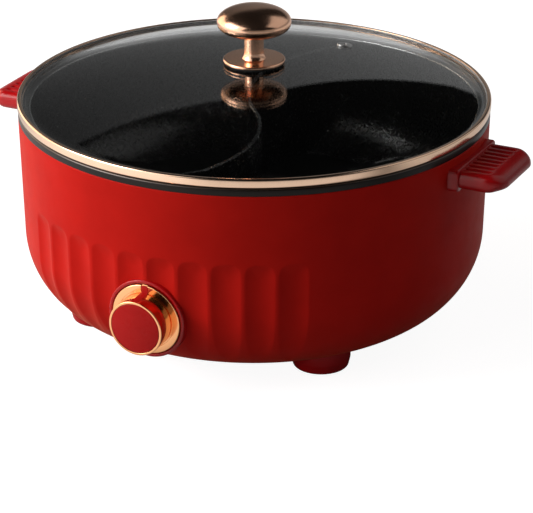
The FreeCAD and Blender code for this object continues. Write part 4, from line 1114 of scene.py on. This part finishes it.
@dataclass
class Dial:
    """The turning dial on its tilted axis, and the bezel round it."""

    finishes: Finishes
    reach: float = 167.0
    height: float = 55.5
    tilt: float = 3.0
    skirt: float = 25.8
    skirt_back: float = -1.9
    skirt_face: float = 0.6
    barrel: float = 20.2
    barrel_face: float = 16.0
    cap: float = 18.3
    cap_floor: float = 13.6
    pointer: float = 5.2
    slot: float = 1.2
    dome: float = 1.8
    bezel: float = 29.0
    bezel_inner: float = 26.4
    bezel_seat: float = -4.4
    bezel_floor: float = -2.4

    def stand(self) -> Matrix:
        """The dial's own frame: Z out of the front, Y up."""
        return Matrix.Translation((0.0, -self.reach, self.height)) @ Matrix.Rotation(
            math.radians(90 + self.tilt), 4, "X")

    def sunk(self, radius: float, height: float, angle: float) -> tuple[float, float]:
        """Sink the pointer's slot into the barrel's side and the skirt's face.

        Args:
            radius: a point's distance from the dial's axis, in mm.
            height: how far out it lies.
            angle: its direction, in radians.

        Returns:
            Its new radius and height.
        """
        across = abs(radius * math.cos(angle))
        if math.sin(angle) < 0 or across > self.pointer / 2 or radius < self.barrel - 0.9:
            return radius, height
        if self.skirt_face - 0.3 < height < self.barrel_face - 1.6 and radius < self.barrel + 0.1:
            return radius - self.slot, height
        if radius > self.barrel + 0.2 and height > self.skirt_face - 1.0:
            return radius, height - self.slot
        return radius, height

    def columns(self) -> list[float]:
        """Angles of the columns, with steps at the slot's two edges.

        Returns:
            The angles in radians.
        """
        marks = [2 * math.pi * k / 240 for k in range(240)]
        edge = math.asin(self.pointer / 2 / self.barrel)
        for side in (-1, 1):
            for nudge in (-0.004, 0.004):
                marks.append(math.pi / 2 + side * (edge + nudge))
        return sorted(marks)

    def build_dial(self) -> None:
        """The plated knob, its pointer bar and its cap."""
        face = self.skirt_face
        corners: list[Corner] = [
            (18.0, self.skirt_back, 0.0), (self.skirt, self.skirt_back, 0.3),
            (self.skirt, face, 0.8), (self.barrel + 0.9, face, 0.2),
            (self.barrel + 0.9, face - 0.9, 0.0), (self.barrel, face - 0.9, 0.0),
            (self.barrel, face + 0.2, 0.0), (self.barrel, self.barrel_face - 2.0, 0.0),
            (self.barrel, self.barrel_face - 1.4, 0.0), (self.barrel, self.barrel_face, 0.9),
            (self.cap + 0.15, self.barrel_face, 0.35), (self.cap + 0.15, self.cap_floor, 0.0),
            (0.0, self.cap_floor, 0.0)]
        knob = lathe("dial_barrel", rounded(corners, closed=False), closed=False,
                     stand=self.stand(), shift=self.sunk, angles=self.columns())
        self.finishes.dress(knob, "dial_gold")
        settle(knob, Body.DIAL, "dial_gold", "dial_knob")
        crown = (self.cap ** 2 + self.dome ** 2) / (2 * self.dome)
        sunk = self.barrel_face - 0.15 - crown + self.dome
        top = [(r, sunk + math.sqrt(crown ** 2 - r ** 2), 0.0)
               for r in (17.2, 16.0, 14.0, 12.0, 10.0, 8.0, 6.0, 4.0, 2.0, 0.0)]
        cap = lathe("dial_button", rounded([
            (0.0, self.cap_floor, 0.0), (self.cap, self.cap_floor, 0.0),
            (self.cap, self.barrel_face - 0.1, 0.6)] + top, closed=False), 160, closed=False,
            stand=self.stand())
        self.finishes.dress(cap, "cap_red")
        settle(cap, Body.DIAL, "gloss_red", "dial_cap")
        bar = bevelled_copy("dial_mark", "dial_pointer", 0.25)
        self.finishes.dress(bar, "cap_red")
        settle(bar, Body.DIAL, "gloss_red", "dial_pointer")

    def build_bezel(self) -> None:
        """The red ring that the dial sits in."""
        corners: list[Corner] = [
            (5.2, self.bezel_seat, 0.0), (self.bezel_inner, self.bezel_seat, 0.0),
            (self.bezel_inner, -20.0, 0.0), (self.bezel, -20.0, 0.0), (self.bezel, 0.0, 1.1),
            (self.bezel_inner, 0.0, 0.9), (self.bezel_inner, self.bezel_floor, 0.3),
            (5.2, self.bezel_floor, 0.0)]
        ring = lathe("dial_surround", rounded(corners), 192, stand=self.stand())
        self.finishes.dress(ring, "gloss_red")
        settle(ring, Body.BASE, "gloss_red", "dial_bezel")

    def build(self) -> None:
        """Build the dial and its bezel."""
        self.build_dial()
        self.build_bezel()


@dataclass
class SideHandle:
    """One grip with finger grooves on its wall plate."""

    finishes: Finishes
    name: str
    turn: float
    top: float = 145.5
    thick: float = 13.0
    reach: float = 205.0
    width: float = 66.0
    corner: float = 14.0
    round_edge: float = 5.2
    round_end: float = 13.0
    end_drop: float = 8.0
    root: float = 165.0
    plate_face: float = 173.0
    plate_width: float = 70.0
    plate_height: float = 16.0
    plate_corner: float = 3.0
    grooves: int = 8
    pitch: float = 6.8
    groove_width: float = 3.6
    groove_depth: float = 1.4
    groove_end: float = 192.0
    groove_blend: float = 1.3
    plate_steps: tuple[tuple[float, float], ...] = (
        (160.0, 0.0), (171.6, 0.0), (172.3, 0.15), (172.8, 0.5), (173.0, 1.0))

    def endness(self, x: float, y: float) -> float:
        """Share by which the nearest edge is the outer end rather than a side.

        Args:
            x: distance out from the pot's axis, in mm.
            y: place across the grip's width.

        Returns:
            The share, from 0 to 1.
        """
        along = max(x - (self.reach - self.corner), 0.0)
        side = max(abs(y) - (self.width / 2 - self.corner), 0.0)
        total = along ** 2 + side ** 2
        return along ** 2 / total if total > 0 else 0.0

    def edge_distance(self, x: float, y: float) -> float:
        """Distance from a point of the plan to the grip's outline.

        Args:
            x: distance out from the pot's axis, in mm.
            y: place across the grip's width.

        Returns:
            The distance, in mm.
        """
        half = self.width / 2
        along = self.reach - self.corner - x
        side = half - self.corner - abs(y)
        if along < 0 and side < 0:
            return self.corner - math.hypot(along, side)
        return min(self.reach - x, half - abs(y))

    def outline_x(self, y: float) -> float:
        """How far out the grip's outline lies at a place across its width.

        Args:
            y: the place, in mm.

        Returns:
            The distance from the pot's axis.
        """
        over = abs(y) - (self.width / 2 - self.corner)
        if over <= 0:
            return self.reach
        return self.reach - self.corner + math.sqrt(max(self.corner ** 2 - over ** 2, 0.0))

    def groove(self, x: float, y: float) -> float:
        """Depth of the finger grooves at a point of the top.

        Args:
            x: distance out from the pot's axis, in mm.
            y: place across the grip's width.

        Returns:
            The depth, in mm.
        """
        spot = y / self.pitch + (self.grooves - 1) / 2
        number = min(max(round(spot), 0), self.grooves - 1)
        away = abs(spot - number) * self.pitch
        blend = self.groove_width / 2 * self.groove_blend
        if away > blend:
            return 0.0
        shape = 0.5 + 0.5 * math.cos(math.pi * min(away / blend, 1.0))
        fade = min(max((self.groove_end - x) / 2.4 + 0.5, 0.0), 1.0)
        start = min(max((x - self.plate_face) / 1.2, 0.0), 1.0)
        return self.groove_depth * shape * fade * start

    def build_grip(self) -> bpy.types.Object:
        """The flat grip: two faces that meet in a bullnose, the upper one grooved.

        Returns:
            The new object.
        """
        rows, columns = 48, 220
        half = self.width / 2
        low = self.top - self.thick
        points: list[Point] = []
        for upper in (True, False):
            for k in range(columns + 1):
                y = -half * math.cos(math.pi * k / columns) * 0.35 + (
                    -half + self.width * k / columns) * 0.65
                y = max(min(y, half), -half)
                out = self.outline_x(y)
                for row in range(rows + 1):
                    share = math.sin(math.pi / 2 * row / rows)
                    x = self.root + (out - self.root) * share
                    end = self.endness(x, y)
                    wide = self.round_edge + (self.round_end - self.round_edge) * end
                    tall = self.round_edge + (self.end_drop - self.round_edge) * end
                    if not upper:
                        tall = min(tall, self.thick - tall)
                    inset = min(max(self.edge_distance(x, y) / wide, 0.0), 1.0)
                    drop = tall * (1.0 - math.sqrt(max(1.0 - (1.0 - inset) ** 2, 0.0)))
                    z = self.top - drop - self.groove(x, y) if upper else low + drop
                    points.append((x * MM, y * MM, z * MM))
        line = rows + 1
        block = (columns + 1) * line
        faces: list[tuple[int, ...]] = []
        for start in (0, block):
            for k in range(columns):
                for row in range(rows):
                    a = start + k * line + row
                    faces.append((a, a + 1, a + line + 1, a + line))
        rim = list(range(line))
        rim += [k * line + rows for k in range(1, columns + 1)]
        rim += [columns * line + row for row in range(rows - 1, -1, -1)]
        for first, second in zip(rim, rim[1:]):
            faces.append((first, second, second + block, first + block))
        turned = Matrix.Rotation(math.radians(self.turn), 4, "Z")
        spun = [tuple(turned @ Vector(p)) for p in points]
        return from_faces(self.name + "_grip", spun, faces, math.radians(50))

    def build_plate(self) -> bpy.types.Object:
        """The plate between the grip and the shell.

        Returns:
            The new object.
        """
        middle = self.top - self.thick / 2
        rings = []
        for x, inset in self.plate_steps:
            shape = rounded([
                (-self.plate_width / 2 + inset, middle - self.plate_height / 2 + inset,
                 self.plate_corner),
                (self.plate_width / 2 - inset, middle - self.plate_height / 2 + inset,
                 self.plate_corner),
                (self.plate_width / 2 - inset, middle + self.plate_height / 2 - inset,
                 self.plate_corner),
                (-self.plate_width / 2 + inset, middle + self.plate_height / 2 - inset,
                 self.plate_corner)])
            rings.append([(x, y, z) for y, z in shape])
        return loft(self.name + "_plate", rings,
                    Matrix.Rotation(math.radians(self.turn), 4, "Z"))

    def build(self) -> None:
        """Build the grip and its plate."""
        grip = self.build_grip()
        plate = self.build_plate()
        self.finishes.dress(grip, "gloss_red")
        self.finishes.dress(plate, "gloss_red")
        settle(grip, Body.BASE, "gloss_red", self.name)
        settle(plate, Body.BASE, "gloss_red")


@dataclass
class Feet:
    """Four round feet under the shell with rubber pads."""

    finishes: Finishes
    circle: float = 116.5
    spread_angle: float = 50.0
    radius: float = 21.0
    tip: float = 19.4
    pad: float = 15.0
    shelf: float = 8.0
    height: float = 26.0

    def build(self) -> None:
        """Build each foot and its pad."""
        places = {
            "foot_front_right": -90 + self.spread_angle,
            "foot_front_left": -90 - self.spread_angle,
            "foot_rear_right": 90 - self.spread_angle,
            "foot_rear_left": 90 + self.spread_angle,
        }
        outline = rounded([
            (0.0, 2.0, 0.0), (self.pad, 2.0, 0.0), (self.pad, 1.0, 0.2), (self.tip, 1.0, 2.5),
            (self.radius, self.shelf, 3.0), (self.radius, self.height, 0.6),
            (0.0, self.height, 0.0)], closed=False)
        for name, angle in places.items():
            turn = math.radians(angle)
            spot = Matrix.Translation((self.circle * math.cos(turn),
                                       self.circle * math.sin(turn), 0.0))
            foot = lathe(name + "_turned", outline, 128, closed=False, stand=spot)
            self.finishes.dress(foot, "gloss_red")
            settle(foot, Body.BASE, "gloss_red", name)
        pads = bevelled_copy("rubber_pads", "foot_pads", 0.4)
        self.finishes.dress(pads, "seal_black")
        settle(pads, Body.BASE, "seal_black", "foot_pads")


@dataclass
class Workings:
    """Everything that keeps its node's shape: inlet, cover, control, heater, fasteners."""

    finishes: Finishes
    rounding: float = 0.35

    ROUNDED: ClassVar[dict[str, str]] = {
        "power_inlet": "black_plastic",
        "bottom_cover": "black_plastic",
        "thermostat_body": "black_plastic",
        "thermal_cutout": "cutout_white",
        "cutout_strap": "bright_steel",
        "thermostat_bracket": "bright_steel",
        "cover_screws": "bright_steel",
        "foot_screws": "bright_steel",
        "inlet_screws": "bright_steel",
    }
    PLAIN: ClassVar[dict[str, str]] = {
        "heat_spreader": "aluminium",
        "heater_tube": "heater_steel",
        "heater_terminals": "bright_steel",
        "heat_shield": "bright_steel",
        "pan_pillars": "bright_steel",
        "shield_clips": "bright_steel",
        "handle_screws": "bright_steel",
        "thermostat_screws": "bright_steel",
        "thermostat_shaft": "bright_steel",
        "inlet_pins": "brass",
    }

    def build(self) -> None:
        """Round the edges that show, and dress the rest as it is."""
        for node, finish in self.ROUNDED.items():
            part = bevelled_copy(node + "_dressed", node, self.rounding)
            self.finishes.dress(part, finish)
            settle(part, Body.BASE, finish, node)
        for node, finish in self.PLAIN.items():
            self.finishes.dress(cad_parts[node], finish)
            log.info("%s: dressed in %s", node, finish)


# Studio


@dataclass
class Lamp:
    """One soft rectangular light that faces a point."""

    name: str
    azimuth: float
    elevation: float
    distance: float
    size: tuple[float, float]
    power: float
    colour: Point = (1.0, 1.0, 1.0)
    aim: Point = (0.0, 0.0, 0.1)

    def build(self) -> None:
        """Hang the light: azimuth 0 is in front of the dial, 90 at the right handle."""
        data = bpy.data.lights.new(self.name, "AREA")
        data.shape = "RECTANGLE"
        data.size, data.size_y = self.size
        data.energy = self.power
        data.color = self.colour
        lamp = bpy.data.objects.new(self.name, data)
        bpy.context.scene.collection.objects.link(lamp)
        a, e = math.radians(self.azimuth), math.radians(self.elevation)
        away = Vector((math.sin(a) * math.cos(e), -math.cos(a) * math.cos(e), math.sin(e)))
        lamp.location = Vector(self.aim) + away * self.distance
        lamp.rotation_euler = away.to_track_quat("Z", "Y").to_euler()


@dataclass
class Studio:
    """Pale floor, soft lights, plain world and the camera."""

    camera_at: Point = (0.82194824, -1.65580398, 0.83776607)
    camera_aim: Point = (0.00790979, 0.00392646, 0.03713019)
    lens: float = 184.651
    floor_half: float = 6.0
    overhead_level: float = 0.006
    floor_grey: float = 0.32
    floor_glow: float = 0.93
    # Levels of the floor's painted reflected glow on the left, on the right and behind.
    painted_glow_left: tuple[float, float] = (0.35, 0.95)
    painted_glow_right: tuple[float, float] = (0.08, 0.60)
    painted_glow_rear: float = 0.45
    wall_steep: tuple[float, float] = (-1.75, -0.11)
    wall_shallow: tuple[float, float] = (-0.28, 0.44)
    wall_least: float = 0.262
    wall_crispness: float = 90.0
    wall_shade: tuple[float, float] = (0.36, 0.30)
    shade_limits: tuple[float, float] = (0.065, 0.235)
    low_light: float = 0.24

    def build_camera(self) -> None:
        """Stand the camera where the photograph was taken from."""
        data = bpy.data.cameras.new("camera")
        data.lens = self.lens
        data.sensor_width = 36.0
        camera = bpy.data.objects.new("camera", data)
        bpy.context.scene.collection.objects.link(camera)
        camera.location = self.camera_at
        look = Vector(self.camera_aim) - Vector(self.camera_at)
        camera.rotation_euler = look.to_track_quat("-Z", "Y").to_euler()
        bpy.context.scene.camera = camera

    @staticmethod
    def maths(tree: bpy.types.NodeTree, operation: str,
              *values: bpy.types.NodeSocket | float) -> bpy.types.NodeSocket:
        """Add one arithmetic node.

        Args:
            tree: the node tree that it goes in.
            operation: the node's operation.
            values: its inputs, as sockets or numbers.

        Returns:
            The result's socket.
        """
        node = tree.nodes.new("ShaderNodeMath")
        node.operation = operation
        for index, value in enumerate(values):
            if isinstance(value, bpy.types.NodeSocket):
                tree.links.new(value, node.inputs[index])
            else:
                node.inputs[index].default_value = value
        return node.outputs[0]

    @staticmethod
    def ramp(tree: bpy.types.NodeTree, value: bpy.types.NodeSocket, start: float,
             end: float, low: float, high: float) -> bpy.types.NodeSocket:
        """Add a smooth step from one level to another.

        Args:
            tree: the node tree that it goes in.
            value: the value that drives it.
            start: the value at which it leaves the first level.
            end: the value at which it reaches the second.
            low: the first level.
            high: the second level.

        Returns:
            The result's socket.
        """
        node = tree.nodes.new("ShaderNodeMapRange")
        node.interpolation_type = "SMOOTHSTEP"
        flip = start > end
        ends = (end, start, high, low) if flip else (start, end, low, high)
        for name, number in zip(("From Min", "From Max", "To Min", "To Max"), ends):
            node.inputs[name].default_value = number
        tree.links.new(value, node.inputs["Value"])
        return node.outputs["Result"]

    def build_floor(self) -> None:
        """Lay a pale floor that looks white to the camera and keeps the shadow; in reflections it
        glows with painted light, brighter on the left than on the right and brightest in front, and
        with a painted shadow that fades the glow near the pot.
        """
        h = self.floor_half
        floor = from_faces("floor", [(-h, -h, -0.0003), (h, -h, -0.0003), (h, h, -0.0003),
                                     (-h, h, -0.0003)], [(0, 1, 2, 3)])
        graph = Graph("floor_paper")
        grey = self.floor_grey
        graph.set(Roughness=0.9, Specular_IOR_Level=0.1)
        paper = graph.spread(graph.noise(120.0, 2.0), 0.0, 1.0)
        graph.wire(graph.tint(paper, (grey, grey, grey), (grey * 1.02, grey * 1.02, grey * 1.02)),
                   graph.shader.inputs["Base Color"])
        tree = graph.tree
        path = tree.nodes.new("ShaderNodeLightPath")
        split = tree.nodes.new("ShaderNodeSeparateXYZ")
        graph.wire(graph.place, split.inputs[0])
        x, y = split.outputs["X"], split.outputs["Y"]
        away = self.maths(tree, "SQRT", self.maths(
            tree, "ADD", self.maths(tree, "MULTIPLY", x, x), self.maths(tree, "MULTIPLY", y, y)))
        # Painted light in reflections: the floor's glow is brighter on the left than on the right,
        # and brightest in front.
        left = self.ramp(tree, y, 0.25, -0.3, *self.painted_glow_left)
        front = self.maths(tree, "MULTIPLY", self.ramp(tree, y, 0.0, -0.3, 0.0, 1.0),
                           self.ramp(tree, away, 0.95, 0.6, 0.0, 1.0))
        right = self.ramp(tree, front, 0.0, 1.0, *self.painted_glow_right)
        rear = self.ramp(tree, y, -0.15, 0.10, 0.0, self.painted_glow_rear)
        right = self.maths(tree, "MAXIMUM", right, rear)
        side = self.ramp(tree, x, 0.15, -0.12, 0.0, 1.0)
        blend = self.maths(tree, "ADD", self.maths(tree, "MULTIPLY", left, side),
                           self.maths(tree, "MULTIPLY", right,
                                      self.maths(tree, "SUBTRACT", 1.0, side)))
        # Painted shadow in reflections: the glow fades out near the pot.
        glow_with_painted_shadow = self.maths(tree, "MULTIPLY", blend, self.ramp(tree, away, 0.12, 0.28, 0.0, 1.0))
        clear = self.maths(tree, "MAXIMUM", path.outputs["Is Camera Ray"],
                           path.outputs["Is Transmission Ray"])
        clear = self.maths(tree, "MULTIPLY", clear, self.floor_glow)
        painted_reflected_glow = self.maths(tree, "MULTIPLY", path.outputs["Is Glossy Ray"], glow_with_painted_shadow)
        glow = self.maths(tree, "MAXIMUM", clear, painted_reflected_glow)
        graph.shader.inputs["Emission Color"].default_value = (1.0, 1.0, 1.0, 1.0)
        graph.wire(glow, graph.shader.inputs["Emission Strength"])
        floor.data.materials.append(graph.material)

    def build_world(self) -> None:
        """A plain studio: a grey wall behind, higher on the left, and dark overhead."""
        world = bpy.data.worlds.new("studio")
        bpy.context.scene.world = world
        world.use_nodes = True
        tree = world.node_tree
        tree.nodes.clear()
        output = tree.nodes.new("ShaderNodeOutputWorld")
        sky = tree.nodes.new("ShaderNodeBackground")
        place = tree.nodes.new("ShaderNodeTexCoord")
        split = tree.nodes.new("ShaderNodeSeparateXYZ")
        tree.links.new(place.outputs["Generated"], split.inputs[0])
        across, up = split.outputs["X"], split.outputs["Z"]
        steep = self.maths(tree, "MULTIPLY_ADD", across, *self.wall_steep)
        shallow = self.maths(tree, "MULTIPLY_ADD", across, *self.wall_shallow)
        edge = self.maths(tree, "MAXIMUM", self.maths(tree, "MINIMUM", steep, shallow),
                          self.wall_least)
        under = self.maths(tree, "SUBTRACT", edge, up)
        wall = self.maths(tree, "MULTIPLY", under, self.wall_crispness)
        wall.node.use_clamp = True
        shade = self.maths(tree, "MULTIPLY_ADD", across, *self.wall_shade)
        darkest, brightest = self.shade_limits
        shade = self.maths(tree, "MINIMUM", self.maths(tree, "MAXIMUM", shade, darkest), brightest)
        low = self.ramp(tree, up, 0.08, -0.04, 0.0, self.low_light)
        shade = self.maths(tree, "ADD", shade, low)
        level = self.maths(tree, "MULTIPLY_ADD", wall, shade, self.overhead_level)
        tree.links.new(level, sky.inputs["Color"])
        tree.links.new(sky.outputs["Background"], output.inputs["Surface"])

    def build(self) -> None:
        """Build the camera, floor, world and lamps."""
        bpy.context.scene.view_settings.view_transform = "Standard"
        self.build_camera()
        self.build_floor()
        self.build_world()
        lamps = (
            Lamp("wall_left", -45.0, 22.0, 1.7, (2.2, 2.2), 20.0, (1.0, 0.97, 0.95)),
            Lamp("wall_rear_left", -100.0, 15.0, 1.7, (1.4, 1.1), 9.8, (1.0, 0.80, 0.62)),
            Lamp("key", -54.0, 29.0, 1.65, (1.0, 0.9), 18.0, (1.0, 0.97, 0.95)),
            Lamp("soft_right", 130.0, 41.0, 1.7, (2.1, 1.4), 4.6, (1.0, 0.96, 0.94)),
        )
        for lamp in lamps:
            lamp.build()


def main() -> None:
    """Build the pot and its studio."""
    finishes = Finishes()
    assemblies = (
        OuterShell(finishes), Pan(finishes), Lid(finishes), LidKnob(finishes), Dial(finishes),
        SideHandle(finishes, "handle_right", 0.0), SideHandle(finishes, "handle_left", 180.0),
        Feet(finishes), Workings(finishes), Studio())
    for assembly in assemblies:
        assembly.build()
        log.info("%s done", type(assembly).__name__)


if __name__ == "__main__":
    main()
